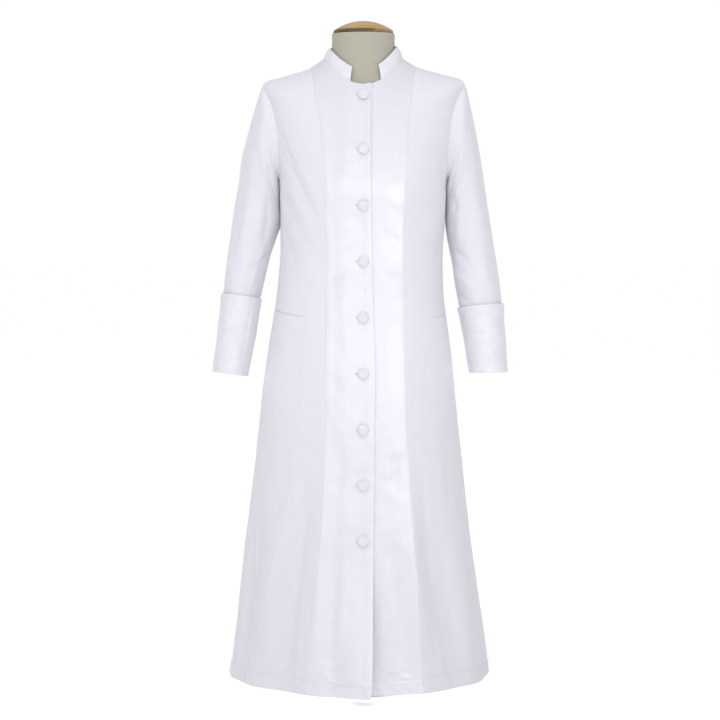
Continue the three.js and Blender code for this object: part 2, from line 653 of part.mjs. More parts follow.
// The wooden neck cap: an upright rim and a shallow dome, part of a ball
function capGeometry() {
  const sides = 32;
  const foot = NECK.top + SEAM_GAP;
  const crown = CAP.tall - CAP.rim;
  const ball = (CAP.half ** 2 + crown ** 2) / (2 * crown);
  const domeSizes = [0.84, 0.68, 0.5, 0.32, 0.15];
  const rows = [
    { size: 0.985, z: foot },
    { size: 1, z: foot + CAP.rim * 0.25 },
    { size: 1, z: foot + CAP.rim * 0.7 },
    { size: 0.985, z: foot + CAP.rim },
    ...domeSizes.map((size) => ({
      size,
      z: foot + CAP.tall - ball + Math.sqrt(ball ** 2 - (size * CAP.half) ** 2),
    })),
  ];
  const rings = rows.map(({ size, z }) =>
    Array.from({ length: sides }, (_, i) => {
      const turn = (2 * Math.PI * i) / sides;
      const depth = Math.cos(turn) > 0 ? CAP.ahead : CAP.behind;
      return new THREE.Vector3(CAP.half * Math.sin(turn) * size, -depth * Math.cos(turn) * size, z);
    }),
  );
  const geometry = stackGeometry(rings);
  const points = geometry.getAttribute("position");
  points.setZ(points.count - 1, foot + CAP.tall);
  return geometry;
}

// The stand: a round base with a socket, and the pole in it
function baseGeometry() {
  const { radius, thick, dome, socket, tall, bevel, sides } = BASE;
  const profile = [
    [0, 0],
    [radius - bevel, 0],
    [radius, bevel],
    [radius, thick - bevel],
    [radius - bevel, thick],
    [socket * 1.25, thick + dome],
    [socket, thick + dome + bevel],
    [socket - bevel, tall],
    [0, tall],
  ].map(([r, z]) => new THREE.Vector2(r, z));
  return new THREE.LatheGeometry(profile, sides).rotateX(Math.PI / 2);
}
function poleGeometry() {
  const foot = BASE.tall + SEAM_GAP;
  const length = level("side", FORM_BOTTOM) - SEAM_GAP - foot;
  return new THREE.CylinderGeometry(POLE.radius, POLE.radius, length, POLE.sides)
    .rotateX(Math.PI / 2)
    .translate(0, 0, foot + length / 2);
}

const finish = (color, roughness, metalness = 0) =>
  new THREE.MeshStandardMaterial({ color, roughness, metalness });
const SATIN = finish(0xf0f0f7, 0.32);
const CLOTH = finish(0xe8e8ee, 0.85);
const CANVAS = finish(0xc2bca8, 0.9);
const WOOD = finish(0xa9814f, 0.4);
const STEEL = finish(0x8e9094, 0.35, 0.9);

const part = new THREE.Group();
function add(name, geometry, material) {
  const mesh = new THREE.Mesh(geometry, material);
  mesh.name = name;
  part.add(mesh);
  return mesh;
}

const sideFronts = { right: sideFrontPanel(-1), left: sideFrontPanel(1) };
add("front_right", frontPanel(-1).geometry, SATIN);
add("front_left", frontPanel(1).geometry, SATIN);
add("side_front_right", sideFronts.right.geometry, CLOTH);
add("side_front_left", sideFronts.left.geometry, CLOTH);
add("back", backPanel().geometry, CLOTH);
for (const name of ["right", "left"]) {
  add(`sleeve_${name}`, sleeveGeometry(name), CLOTH);
  add(`cuff_${name}`, cuffGeometry(name), SATIN);
  add(`pocket_welt_${name}`, weltGeometry(sideFronts[name], WELT_SPANS[name], name === "right"), CLOTH);
}
add("collar", collarGeometry(), SATIN);
buttonPlaces().forEach(({ point, normal }, i) => {
  const button = add(`button_${i + 1}`, buttonGeometry(), SATIN);
  button.quaternion.setFromUnitVectors(new THREE.Vector3(0, 0, 1), normal);
  button.position.copy(point).addScaledVector(normal, BUTTON.lift);
});
add("form_torso", formGeometry(), CANVAS);
add("form_neck_cap", capGeometry(), WOOD);
add("stand_pole", poleGeometry(), STEEL);
add("stand_base", baseGeometry(), STEEL);

export default part;
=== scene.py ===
"""A white pulpit robe with satin fronts, collar and cuffs, worn by a limbless dress form."""

import math
from functools import partial

import bpy
import numpy as np
from bpy.props import FloatProperty, FloatVectorProperty, PointerProperty
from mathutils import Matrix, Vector


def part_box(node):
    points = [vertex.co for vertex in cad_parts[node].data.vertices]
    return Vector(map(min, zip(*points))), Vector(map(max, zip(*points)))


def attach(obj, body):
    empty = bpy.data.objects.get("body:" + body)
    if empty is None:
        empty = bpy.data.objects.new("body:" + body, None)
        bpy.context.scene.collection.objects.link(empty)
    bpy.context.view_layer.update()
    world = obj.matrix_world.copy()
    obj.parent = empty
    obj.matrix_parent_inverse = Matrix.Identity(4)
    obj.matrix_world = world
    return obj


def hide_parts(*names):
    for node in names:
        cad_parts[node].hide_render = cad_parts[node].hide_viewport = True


bl_info = {
    "name": "Pulpit Robe",
    "version": (1, 0, 0),
    "blender": (4, 5, 0),
    "location": "View3D > Sidebar > Robe",
    "description": "Builds a pulpit robe and its dress form around the fixed solids",
    "category": "Object",
}

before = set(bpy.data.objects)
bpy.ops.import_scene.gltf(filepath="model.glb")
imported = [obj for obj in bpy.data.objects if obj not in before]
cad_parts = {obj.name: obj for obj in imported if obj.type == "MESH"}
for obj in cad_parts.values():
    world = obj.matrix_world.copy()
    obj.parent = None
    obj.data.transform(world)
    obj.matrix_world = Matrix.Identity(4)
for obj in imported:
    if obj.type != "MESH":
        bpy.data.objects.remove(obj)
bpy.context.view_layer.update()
MM = 0.001  # the tables below are in millimetres

# --- The robe's own sizes ---
WALL = 1.8
STIFF_WALL = 2.2  # of the collar and the cuffs
SEAM_GAP = 0.15
SEAM = {"groove": 0.1, "reach": 1.6, "ridge": 0.25, "rise": (1, 5), "fall": (16, 10)}
SEAM_FADE = (1060, 1025)  # the heights over which the armhole's seam fades out of the panels
TOP_FADE = 12  # creases end so far below a panel's top
LAYER_GAP = 0.5  # between the two fronts

# The body's sections from hem to neckline. "ease" is the air between the cloth and the dress form.
LEVEL_COLUMNS = (
    "side", "lower", "front", "back", "right", "left", "ahead",
    "behind", "full", "seam_right", "seam_left", "edge", "ease",
)
LEVELS = np.array([
    [12, 0, 12, 12, 275, 258, 176, 190, -0.01, 117, 121, 14, 24],
    [60, 0, 60, 60, 267, 252, 172, 187, -0.01, 112, 117, 16, 24],
    [184, 0, 184, 184, 254, 236, 164, 178, 0, 100, 109, 18, 24],
    [311, 0, 311, 311, 240, 218, 157, 168, 0.01, 88, 102, 20, 24],
    [441, 0, 441, 441, 225, 205, 150, 158, 0.01, 79, 93, 21, 24],
    [575, 0, 575, 575, 211, 191, 145, 148, 0.02, 76, 85, 22, 24],
    [650, 0, 650, 650, 201, 184, 142, 142, 0.02, 75, 83, 23, 24],
    [724, 0, 724, 724, 190, 175, 137, 133, 0.03, 75, 82, 21, 25],
    [800, 0, 800, 800, 178, 165, 130, 120, 0.03, 75, 81, 19, 27],
    [880, 0, 880, 880, 170, 162, 122, 107, 0.03, 74, 80, 17, 28],
    [950, 0, 950, 950, 169, 166, 124, 104, 0.04, 74, 79, 15, 18],
    [1010, 0, 1010, 1010, 170, 169, 130, 107, 0.05, 76, 83, 15, 9],
    [1040, 0, 1040, 1040, 171, 170, 130, 110, 0.05, 77, 85, 15, 8],
    [1095, 1, 1090, 1095, 180, 180, 125, 113, 0.04, 80, 87, 15, 9],
    [1150, 2, 1130, 1150, 190, 190, 118, 112, 0.03, 84, 90, 15, 9],
    [1200, 3, 1160, 1200, 198, 198, 111, 107, 0.02, 88, 92, 15, 8],
    [1237, 4, 1180, 1236, 203, 204, 105, 98, 0, 93, 96, 15, 5],
    [1252, 4, 1196, 1256, 160, 160, 99, 89, 0, 97, 98, 15, 2.4],
    [1262, 3, 1208, 1268, 124, 124, 94, 81, 0, 101, 101, 15, 2.8],
    [1269, 2, 1215, 1277, 104, 104, 90.5, 76, 0, 104, 104, 15, 4.6],
    [1284, 0, 1228, 1291, 80, 80, 84, 67, 0, 80, 80, 15, 5.4],
], float)
UNDERARM, SHOULDER_TIP, SEAM_TOP, NECKLINE = 12, 16, 19, 20
LOWER_ROWS = [0, 1, 1.5, 2, 2.5, 3, 3.5, 4, 4.5, 5, 6, 7, 8, 9, 10, 11, UNDERARM]
LOWER, UPPER_STEPS = len(LOWER_ROWS) - 1, 12
ROWS = LOWER + UPPER_STEPS
# The rows of the body's panels: up to each height, one row for so many millimetres
ROW_BANDS = [(46, 2), (760, 5.25), (790, 1.5), (1038, 5.2)]
UPPER_ROWS = 66
COLUMNS = {"front": 44, "side_front": 52, "back": 144, "tube": 128, "collar": 160, "form": 144}
# The tops of the panels: steps along a shoulder seam, and round the neckline
FRONT_TOP = {"shoulder": 2, "neck": 8}
BACK_TOP = {"shoulder": 8, "neck": 16}

# The skirt's folds: start, from, to, out, hem, half
FOLD_PEAK = 190
FOLDS = [
    (520, -21, -24, 5, 2, 11), (500, -28, -40, -11, -3, 13), (440, -46, -54, 7, 3, 14),
    (440, -62, -68, -5, -3, 13), (560, -76, -82, 4, 3, 12), (500, 24, 30, 6, 2, 11),
    (480, 31, 50, -12, -3, 14), (440, 56, 64, 7, 3, 13), (440, 72, 78, -4, -2, 11),
    (640, 96, 99, 6, 9, 14), (640, 114, 116, -9, -10, 15), (740, 131, 132, 12, 13, 15),
    (740, 149, 148, -12, -12, 15), (760, 165, 164, 12, 14, 15), (700, 181, 181, -13, -13, 15),
    (760, 197, 198, 12, 13, 15), (740, 213, 214, -12, -12, 15), (740, 229, 230, 11, 13, 15),
    (640, 246, 246, -9, -9, 15), (640, 262, 262, 6, 8, 14),
]
UNDERLAP = 22
EDGE_STAND = 1.8  # how much further the upper front stands off at its free edge
EDGE_RAMP = (-2, 11)
EDGE_PRESS = {"deep": 0.9, "reach": 1.2}
UNDERLAP_RAMP = (70, -UNDERLAP)
LAP_RAMP = (-62, -32)
FLARE = {"start": 310, "upper": 38, "lower": -3, "reach": -175, "bend": -65}
SIDE_SEAM = {"top": 90, "right": 80, "left": 86}
ARMHOLE_HALF = 25

# One row for each section of a sleeve: outer x, outer z, inner x, inner z, y, depth
LEAN = 0.09
SLEEVES = {
    "right": [
        (-211, 1212, -172.5, 1034, 4, 57), (-223, 1174, -170.3, 1020, 10, 63),
        (-235, 1132, -170, 1005, 17, 67), (-249, 1080, -169, 985, 24, 69),
        (-259, 1013, -169.5, 950, 26, 68), (-267, 962, -179, 921, 22, 66),
        (-276, 903, -192, 879, 14, 63), (-284, 846, -203, 834, 4, 60),
        (-287.5, 808, -212, 797, -3, 58), (-293, 757, -219, 745, -10, 57),
        (-300, 700, -229, 689, -16, 56), (-306, 654, -238, 644, -20, 55),
    ],
    "left": [
        (211, 1216, 171.5, 1034, 4, 57), (222, 1172, 169, 1020, 10, 63),
        (233, 1122, 169, 1005, 17, 67), (243, 1068, 168, 988, 24, 69),
        (252, 1009, 168.5, 956, 26, 68), (260, 955, 172, 925, 22, 66), (269, 898, 180, 881, 14, 63),
        (278, 840, 187, 832, 4, 60), (283.5, 787, 197, 779, -4, 58), (287, 745, 204, 739, -9, 57),
        (290.5, 697, 212, 694, -14, 56), (293, 652, 219, 651, -18, 55),
    ],
}
SLEEVE_SEAM = {"turn": 200, "deep": 0.7, "reach": 1.8}
# The armhole's seam, and the fullness of the sleeve's head beyond it
SLEEVE_HEAD = {"deep": -0.3, "reach": 1.4, "full": 0.5, "rise": (1, 9), "fall": (34, 14)}
SLEEVE_CLOTH = {
    "head_rows": 8, "rows": 170, "folds": 1.3, "ripple": 0.6, "stretch": 0.5, "fade": 25,
    "under_cuff": (8.7, 9.1), "sunk": 0.25,
}
CUFF = {
    "top": 9, "bottom": 12, "rows": 56, "past": 5, "stand": 0.6, "mouth": 1.6, "opens": 38,
    "wall": 1.9, "ripple": 0.25, "deepest": -0.55, "fade": 5, "fold": (0.5, 1.6),
    "rim": (0.25, 1.4),
}
COLLAR = {
    "foot": 0.005, "side": 1309, "drop": 4, "front": 1259, "back": 1325, "half": 69,
    "ahead": 73, "behind": 62, "bow": 1.5, "arc": 1.25, "tall": 45, "rows": 22, "ripple": 0.3,
    "stitches": 5, "stitch": (0.3, 1.1), "rim": (0.5, 1),
}
THROAT = {"right": -26, "left": 35}
BUTTON = {"radius": 11.2, "height": 6, "lift": 0.6, "count": 9, "from_neck": 24, "spacing": 111.4}
# A button's profile, as shares of its radius and height
BUTTON_SHAPE = [
    (0, 0), (0.45, 0), (0.88, 0.16), (1, 0.42), (0.93, 0.66), (0.8, 0.8), (0.5, 0.95), (0, 1),
]
HOLE = {
    "middle": -6.5, "half": 10.5, "tall": 1.5, "lift": 0.25, "thread": 0.5, "twist": 0.12,
    "twists": 48,
}
WELT = {
    "tall": 9, "lift": 0.4, "wall": 1.4, "cloth": 0.7, "full": 0.35, "flat": 0.4, "ends": 0.12,
    "rows": 13, "columns": 44,
}
WELT_SPANS = {
    "right": {"from": 1 / 12, "to": 9 / 12, "outer": 782, "inner": 772},
    "left": {"from": 1 / 12, "to": 8 / 12, "outer": 771, "inner": 768},
}
# The slit below a welt is deeper at its outer end, where the welt gapes a little
SLIT = {"below": 0.6, "outer": 2.1, "less": 1.3, "reach": 1.1}
HEM = {
    "foot": 12, "deep": 28, "band": 0.45, "line": 1.8, "pucker": (13, 1.5, 21), "wave": 0.6,
    "waves": (23, 2, 37),
}
# One stitch of the hem: a small lens of thread
STITCH = 1.3 * np.array([
    [-1, 0, 0], [0, 0.32, 0.1], [0, 0, 0.36], [0, -0.32, 0.1], [0, 0, -0.2], [1, 0, 0],
])
STITCH_FACES = [
    (0, 2, 1), (0, 3, 2), (0, 4, 3), (0, 1, 4), (5, 1, 2), (5, 2, 3), (5, 3, 4), (5, 4, 1),
]
STITCH_STEP = 2.3  # degrees round the body
STITCH_LIFT = 0.15

FORM_BOTTOM = 5.4
NECK = {"half": 63.5, "ahead": 66, "behind": 57, "top": 1333}
NECK_RINGS = [(0.12, 0.55), (0.3, 0.88), (0.6, 1.01), (1, 1)]  # share of the height, drawn in
FORM_ROWS = [(FORM_BOTTOM, 15.6, 0.12), (15.6, NECKLINE + 0.01, 0.08)]
CAP = {"half": 60.8, "ahead": 63, "behind": 54, "rim": 7, "tall": 26, "dome": 0.975}
POLE_RADIUS = 14
BASE = {"radius": 140, "thick": 9, "dome": 6, "socket": 24, "tall": 33, "bevel": 2}

# Soft creases: the angle and height of both ends, half-width, height out, bow
ARC = 3.0  # millimetres round the body for one degree
CREASE_ENDS = ((-0.12, 0.3), (1.12, 0.7))  # shares of its length over which a crease comes and goes
CREASE_TOP = {"from": 1150, "to": 1200, "less": 0.8}  # the cloth is smoother over the shoulders
FRONT_CREASES = [
    (-56, 1121, -29, 990, 8, 1.7, 3), (-62, 1096, -30, 955, 9, -2.2, 3),
    (-62, 1043, -29, 902, 10, 1.6, 4), (-70, 1020, -31, 862, 12, -2.0, 5),
    (-63, 1159, -47, 1049, 8, -1.6, 2), (-47, 1075, -27, 1010, 7, -1.1, 2),
    (-58, 979, -28, 801, 15, 1.3, 5), (-72, 960, -48, 850, 12, -1.3, 4),
    (-79, 1010, -60, 930, 8, 1.2, 2), (73, 1078, 42, 1100, 8, -1.6, 3),
    (80, 1040, 46, 1060, 9, 1.4, 3), (84, 1028, 50, 989, 10, -1.9, -3),
    (43, 1146, 29, 1131, 7, 1.0, 1), (66, 1120, 48, 1135, 7, 0.9, 1),
    (30, 992, 68, 968, 12, -0.9, 3), (76, 985, 40, 915, 12, 1.2, 3),
    (82, 955, 55, 860, 13, -1.3, 4), (34, 880, 62, 840, 12, 0.8, 3), (-21, 515, -22, 53, 8, 2.1, 2),
    (27, 470, 27, 51, 8, 1.8, 2), (-69, 380, -62, 190, 4.5, 2.1, 2), (-47, 330, -50, 60, 9, 1.8, 2),
    (-33, 240, -36, 40, 7, -1.5, 2), (60, 420, 68, 160, 9, 1.5, 3), (44, 300, 52, 70, 8, -1.5, 2),
    (76, 300, 80, 60, 7, 1.5, 2), (-13, 525, -12, 412, 11, -2.4, 2), (17, 500, 18, 412, 9, -2.4, 2),
    (-30, 470, -33, 190, 8, -1.95, 3), (-38, 520, -43, 250, 12, 1.8, 3),
    (-80, 560, -84, 220, 8, -1.8, 3), (34, 480, 37, 200, 8, -1.95, 3),
    (45, 560, 50, 330, 12, 1.5, 3), (70, 640, 74, 420, 10, -1.5, 3),
    (-45, 740, -40, 580, 14, -1.5, 3), (55, 730, 47, 600, 13, 1.5, 3),
    (-30, 250, -30, 30, 6, 2.1, 2), (-60, 200, -63, 20, 6, 2.25, 1),
    (-70, 170, -74, 20, 6, -1.95, 1), (38, 170, 40, 20, 6, 1.8, 1), (-9, 300, -12, 100, 8, 1.35, 2),
    (14, 330, 16, 110, 8, -1.35, 2), (9, 230, 8, 60, 7, 1.35, 2),
]
# The back is drawn in at the waist, with slanted pulls at the armholes
BACK_CREASES = [
    (100, 1075, 126, 985, 9, -1.7, 3), (98, 1030, 128, 930, 10, 1.4, 3),
    (104, 975, 140, 905, 12, -1.3, 4), (260, 1080, 236, 992, 9, -1.6, -3),
    (262, 1034, 230, 940, 10, 1.4, -3), (256, 980, 222, 900, 12, -1.3, -4),
    (140, 1165, 128, 1080, 10, 1.0, 2), (222, 1160, 234, 1085, 10, 1.0, -2),
    (150, 905, 178, 885, 11, -1.2, 3), (184, 915, 212, 893, 11, 1.0, 3),
    (160, 860, 200, 868, 12, 0.9, 3), (178, 1130, 182, 960, 14, -0.9, 2),
    (122, 700, 126, 330, 10, 1.2, 3), (238, 690, 234, 300, 10, -1.1, 3),
    (156, 560, 158, 120, 8, 1.1, 3), (206, 540, 204, 90, 8, -1.1, 3),
]
# The pocket bags show through as low ridges
POCKET_RIDGES = [
    (-71, 530, -33, 516, 3.6, 1.7, 0), (-33, 516, -39, 760, 4, 0.5, 0),
    (74, 499, 35, 509, 3.6, 1.6, 0), (35, 509, 42, 758, 4, 0.5, 0),
]
# Small creases of the satin
SATIN_CREASES = [
    (-26, 985, -5, 1020, 6, 0.8, 2), (-27, 930, -8, 965, 6, -0.7, 2),
    (-25, 900, -6, 915, 7, 0.6, 2), (-26, 838, -10, 862, 6, -0.6, 1),
    (-24, 735, -4, 700, 7, 0.5, 2), (-22, 655, -8, 600, 9, -0.8, 3),
    (-20, 600, -14, 540, 8, 0.7, 2), (-6, 520, 6, 470, 7, 0.6, 2), (-16, 430, -2, 462, 6, -0.8, 2),
    (4, 455, 16, 430, 6, -0.6, 2), (8, 1015, 26, 985, 7, 0.7, 2), (9, 940, 27, 912, 7, -0.7, 2),
    (10, 860, 24, 838, 7, 0.5, 2), (6, 1070, 24, 1120, 9, -0.6, 2),
    (-24, 1110, -8, 1075, 9, -0.6, 2), (-27, 748, -11, 700, 13, -1.5, 2),
    (-25, 640, -12, 662, 10, 1.0, 2), (-17, 60, -8, 22, 4, 1.7, 1), (-14, 34, -1, 50, 4, -1.5, 1),
    (-8, 66, 2, 30, 5, 1.4, 1), (8, 40, 22, 58, 4, -1.4, 1), (12, 62, 24, 36, 4, 1.3, 1),
    (-20, 92, -6, 74, 5, -1.1, 1),
]
# Creases of the sleeves: the turn and the way along of both ends, half-width, height out, bow
TURN_ARC = 1.15
SLEEVE_CREASES = {
    "right": [
        (95, 40, 150, 120, 8, -2.0, 3), (60, 40, 118, 120, 9, 1.4, 3),
        (72, 150, 84, 330, 13, 2.0, 3), (112, 130, 138, 262, 10, -2.4, 3),
        (140, 210, 118, 345, 10, 1.8, 3), (165, 250, 110, 305, 8, -1.7, 3),
        (45, 110, 52, 300, 12, -1.4, 3), (165, 345, 100, 392, 9, -1.7, 4),
        (172, 385, 96, 430, 9, 1.5, 4), (150, 430, 70, 452, 8, -1.0, 3),
        (20, 250, 60, 330, 11, 1.1, 3), (228, 60, 262, 150, 10, -1.6, 3),
        (210, 240, 268, 290, 10, 1.5, 4), (205, 290, 262, 345, 10, -1.6, 4),
        (215, 350, 270, 392, 9, 1.3, 3), (290, 140, 300, 340, 13, 1.3, 3),
        (330, 90, 322, 260, 12, -1.2, 3),
    ],
    "left": [
        (98, 30, 142, 96, 7, -1.9, 3), (84, 60, 132, 150, 8, 1.5, 3),
        (150, 90, 110, 190, 9, -1.7, 3), (30, 50, 44, 150, 12, -1.7, 3),
        (110, 140, 128, 250, 11, 1.7, 3), (62, 130, 70, 340, 14, 1.2, 3),
        (150, 245, 104, 300, 9, -1.6, 3), (172, 300, 98, 350, 9, 1.5, 4),
        (175, 345, 110, 378, 8, -1.8, 3), (178, 392, 118, 402, 8, 2.2, 3),
        (176, 420, 104, 428, 7, -1.8, 3), (160, 442, 92, 440, 6, 1.6, 3),
        (232, 70, 264, 150, 10, -1.5, 3), (212, 250, 270, 300, 10, 1.5, 4),
        (205, 300, 258, 350, 10, -1.5, 4), (285, 150, 296, 350, 13, 1.2, 3),
        (335, 100, 325, 280, 12, -1.1, 3),
    ],
}
CUFF_CREASES = {
    "right": [
        (126, 2, 124, 150, 3, -1.5, 0), (134, 4, 131, 150, 4, 0.8, 0), (40, 44, 96, 62, 6, 0.8, 2),
        (30, 100, 84, 88, 7, -0.7, 2), (210, 30, 280, 60, 7, 0.7, 2),
        (300, 90, 350, 110, 7, -0.7, 2),
    ],
    "left": [
        (50, 30, 150, 22, 5, -1.0, 3), (44, 52, 132, 46, 5, 0.9, 3), (60, 78, 150, 86, 6, -1.0, 3),
        (50, 108, 110, 100, 6, 0.8, 2), (70, 130, 140, 124, 5, -0.8, 2),
        (210, 40, 290, 66, 7, 0.8, 2), (205, 104, 280, 96, 7, -0.7, 2),
    ],
}

# The cloth's unevenness: a seed, how many waves, and the shortest and the longest wave
RIPPLES = {
    "body": (5, 9, 28, 70), "satin": (11, 12, 20, 60), "collar": (41, 9, 18, 50),
    "sleeve_right": (21, 9, 30, 80), "sleeve_left": (22, 9, 30, 80),
    "cuff_right": (31, 10, 24, 60), "cuff_left": (32, 10, 24, 60),
}
UPWARD = 0.35  # the body's unevenness is drawn out upward
# The satin is less uneven than the matte cloth below, and more so from the thighs down
SATIN_RIPPLE = {"matte": 0.7, "satin": 0.45, "skirt": 0.35, "from": 620, "to": 420}
TUBE_REACH = 60  # the radius at which unevenness is read round a sleeve
SMOOTH_ANGLE = 50
SIDES = {"button": 40, "base": 96, "pole": 48}
# Painted shade: the colour of the cloth and the satin gets darker towards the hem
PAINTED_HEM_SHADE = {"up_to": 0.85, "high": 0.62, "share": 0.35}
# Painted shade on the neck cap: a darker rim, less dark at the wearer's left, and a lighter dome
CAP_SHADE = {"below": 0.001, "above": 0.002, "dome": 0.14, "rim": -0.42, "across": 0.045}

CAMERA = {"sensor": 36, "lens": 92.5, "x": -0.006766, "down": 5.434}
FLOOR = {"size": 40, "sunk": 0.0005, "glow": 0.46}
HIGH_LIGHT = {"angle": 50, "way": (0.12, 0.5, -1)}
# The area lights' places, aims, widths, heights and powers, as shares of a setting. The last one
# stands in for the light that comes through the thin cloth to the floor.
LIGHTS = {
    "Key light": ((0.3, -2.3, 1.85), (0, 0, 1), 1.4, 1.4, "key", 1),
    "Low front sheen": ((-0.9, -4.1, 0.98), (0, 0, 0.9), 2.4, 0.72, "sheen", 0.95),
    "Side sheen": ((2.1, -3.2, 0.74), (0, 0, 0.65), 1.1, 0.6, "sheen", 1.25),
    "Back light": ((-1.3, 2.7, 1.75), (0, 0, 0.8), 1.2, 1.2, "key", 1.3),
    "Light through the skirt": ((0, 0, 0.5), (0, 0, 0), 0.18, 0.18, "key", 0.11),
}


def tint(name, description, default):
    """A setting for a colour."""
    return FloatVectorProperty(
        name=name, description=description, subtype="COLOR", size=3, min=0, max=1, default=default,
    )


class RobeCloth(bpy.types.PropertyGroup):
    satin: tint("Satin", "Colour of the satin fronts", (0.74, 0.745, 0.805))
    facing: tint("Facing", "Colour of the softer satin, as on collar and cuffs", (0.79, 0.79, 0.84))
    cloth: tint("Cloth", "Colour of the matte cloth", (0.745, 0.745, 0.80))
    weave: FloatProperty(
        name="Weave", description="Distance between two threads of the weave", default=0.0006,
        min=0.0002, max=0.003, precision=5, unit="LENGTH",
    )
    crease: FloatProperty(
        name="Creases", description="How deep the creases are, as a share of the worn look",
        default=1.0, min=0, max=2, subtype="FACTOR",
    )
    ripple: FloatProperty(
        name="Ripple", description="Height of the cloth's soft unevenness", default=0.00035,
        min=0, max=0.002, precision=5, unit="LENGTH",
    )


class RobeForm(bpy.types.PropertyGroup):
    linen: tint("Linen", "Colour of the dress form's cover", (0.49, 0.465, 0.385))
    weave: FloatProperty(
        name="Linen weave", description="Distance between two threads of the linen", default=0.0011,
        min=0.0002, max=0.003, precision=5, unit="LENGTH",
    )
    wood: tint("Wood", "Colour of the neck cap", (0.43, 0.27, 0.11))
    steel: tint("Steel", "Colour of the stand", (0.42, 0.43, 0.44))


class RobeStage(bpy.types.PropertyGroup):
    floor: tint("Floor", "Colour of the floor", (0.66, 0.66, 0.66))
    sky: FloatProperty(
        name="Sky", description="Strength of the light from all round", default=0.46, min=0, max=3,
    )
    high: FloatProperty(
        name="High light", description="Strength of the soft light from above", default=1.3,
        min=0, max=10,
    )
    key: FloatProperty(
        name="Key light", description="Power of the large soft light", default=13,
        min=0, max=500, unit="POWER",
    )
    sheen: FloatProperty(
        name="Sheen light", description="Power of the lights that show in the satin", default=21,
        min=0, max=500, unit="POWER",
    )
    distance: FloatProperty(
        name="Camera distance", description="From the camera to the robe", default=3.793,
        min=1, max=10, unit="LENGTH",
    )
    height: FloatProperty(
        name="Camera height", description="Height of the camera above the floor", default=1.031,
        min=0.1, max=3, unit="LENGTH",
    )


# --- The body's surface ---
def smooth(low, high, x):
    share = np.clip((np.asarray(x, float) - low) / (high - low), 0, 1)
    return share * share * (3 - 2 * share)


def bell(distance, reach):
    return np.exp(-((distance / reach) ** 2))


def through(values, t):
    """A smooth curve through rows of numbers, at fractional rows."""
    values, t = np.asarray(values, float), np.asarray(t, float)
    count = len(values)
    row = np.clip(np.floor(t).astype(int), 0, count - 2)
    f = t - row
    b, c = values[row], values[row + 1]
    first, last = row > 0, row < count - 2
    if values.ndim > 1:
        f, first, last = (x[..., None, None] for x in (f, first, last))
    a = np.where(first, values[np.maximum(row - 1, 0)], 2 * b - c)
    d = np.where(last, values[np.minimum(row + 2, count - 1)], 2 * c - b)
    return b + 0.5 * f * (c - a + f * (2 * a - 5 * b + 4 * c - d + f * (3 * (b - c) + d - a)))


def level(column, t):
    return through(LEVELS[:, LEVEL_COLUMNS.index(column)], t)


def unit(vectors):
    return vectors / np.maximum(np.linalg.norm(vectors, axis=-1, keepdims=True), 1e-9)


def fold_out(angle, height):
    """How far the skirt's folds move a point out."""
    out = np.zeros(np.broadcast(angle, height).shape)
    for start, before, after, peak, hem, half in FOLDS:
        run = np.clip((start - height) / (start - HEM["foot"]), 0, 1)
        middle = before + (after - before) * run
        away = np.abs(((angle - middle + 540) % 360 - 180) / half)
        tall = peak + (hem - peak) * smooth(FOLD_PEAK, HEM["foot"], height)
        shape = np.where(away < 1, np.cos(np.minimum(away, 1) * math.pi / 2) ** 2, 0)
        out += tall * smooth(start, FOLD_PEAK, height) * shape
    return out


def ring_point(angle, t):
    s, c = np.sin(np.radians(angle)), np.cos(np.radians(angle))
    bulge = 1 + level("full", t) * np.sin(np.radians(2 * angle)) ** 2
    half = np.where(s < 0, level("right", t), level("left", t))
    depth = np.where(c > 0, level("ahead", t), level("behind", t))
    side = level("side", t) - np.where(s < 0, level("lower", t), 0)
    end = np.where(c > 0, level("front", t), level("back", t))
    return np.stack([half * s * bulge, -depth * c * bulge, side + (end - side) * c * c], -1)


def normal_of(point_at, u, v, du=0.2, dv=0.01):
    along = point_at(u + du, v) - point_at(u - du, v)
    up = point_at(u, v + dv) - point_at(u, v - dv)
    return unit(np.cross(along, up))


def inside_levels(t):
    return np.clip(t, 0.01, NECKLINE - 0.01)


def body_point(angle, t):
    point = ring_point(angle, t)
    flat = normal_of(ring_point, angle, inside_levels(t)) * (1, 1, 0)
    return point + unit(flat) * fold_out(angle, point[..., 2])[..., None]


def body_normal(angle, t):
    return normal_of(body_point, angle, inside_levels(t))


def angle_at(x, t):
    """The angle at which a section is this far from the centre plane."""
    half = np.where(x < 0, level("right", t), level("left", t))
    angle = np.degrees(np.arcsin(np.clip(x / half, -1, 1)))
    for _ in range(4):
        bulge = 1 + level("full", t) * np.sin(np.radians(2 * angle)) ** 2
        angle = np.degrees(np.arcsin(np.clip(x / half / bulge, -1, 1)))
    return angle


def one_angle(x, t):
    return float(angle_at(np.array(float(x)), np.array(float(t))))


def upper_front_lift(x, z):
    """How far the upper front stands off: over the lap, at its edge and where the skirt parts."""
    parted = smooth(FLARE["start"], HEM["foot"] - 40, z)
    edge_at_hem = LEVELS[0, LEVEL_COLUMNS.index("edge")]
    spread = smooth(FLARE["reach"], FLARE["bend"], x) + smooth(FLARE["bend"], edge_at_hem, x)
    edge = EDGE_STAND * smooth(*EDGE_RAMP, x)
    return (WALL + LAYER_GAP) * smooth(*LAP_RAMP, x) + edge + FLARE["upper"] * parted * spread / 2


def lower_front_lift(x, z):
    return FLARE["lower"] * smooth(FLARE["start"], HEM["foot"], z) * smooth(*UNDERLAP_RAMP, x)


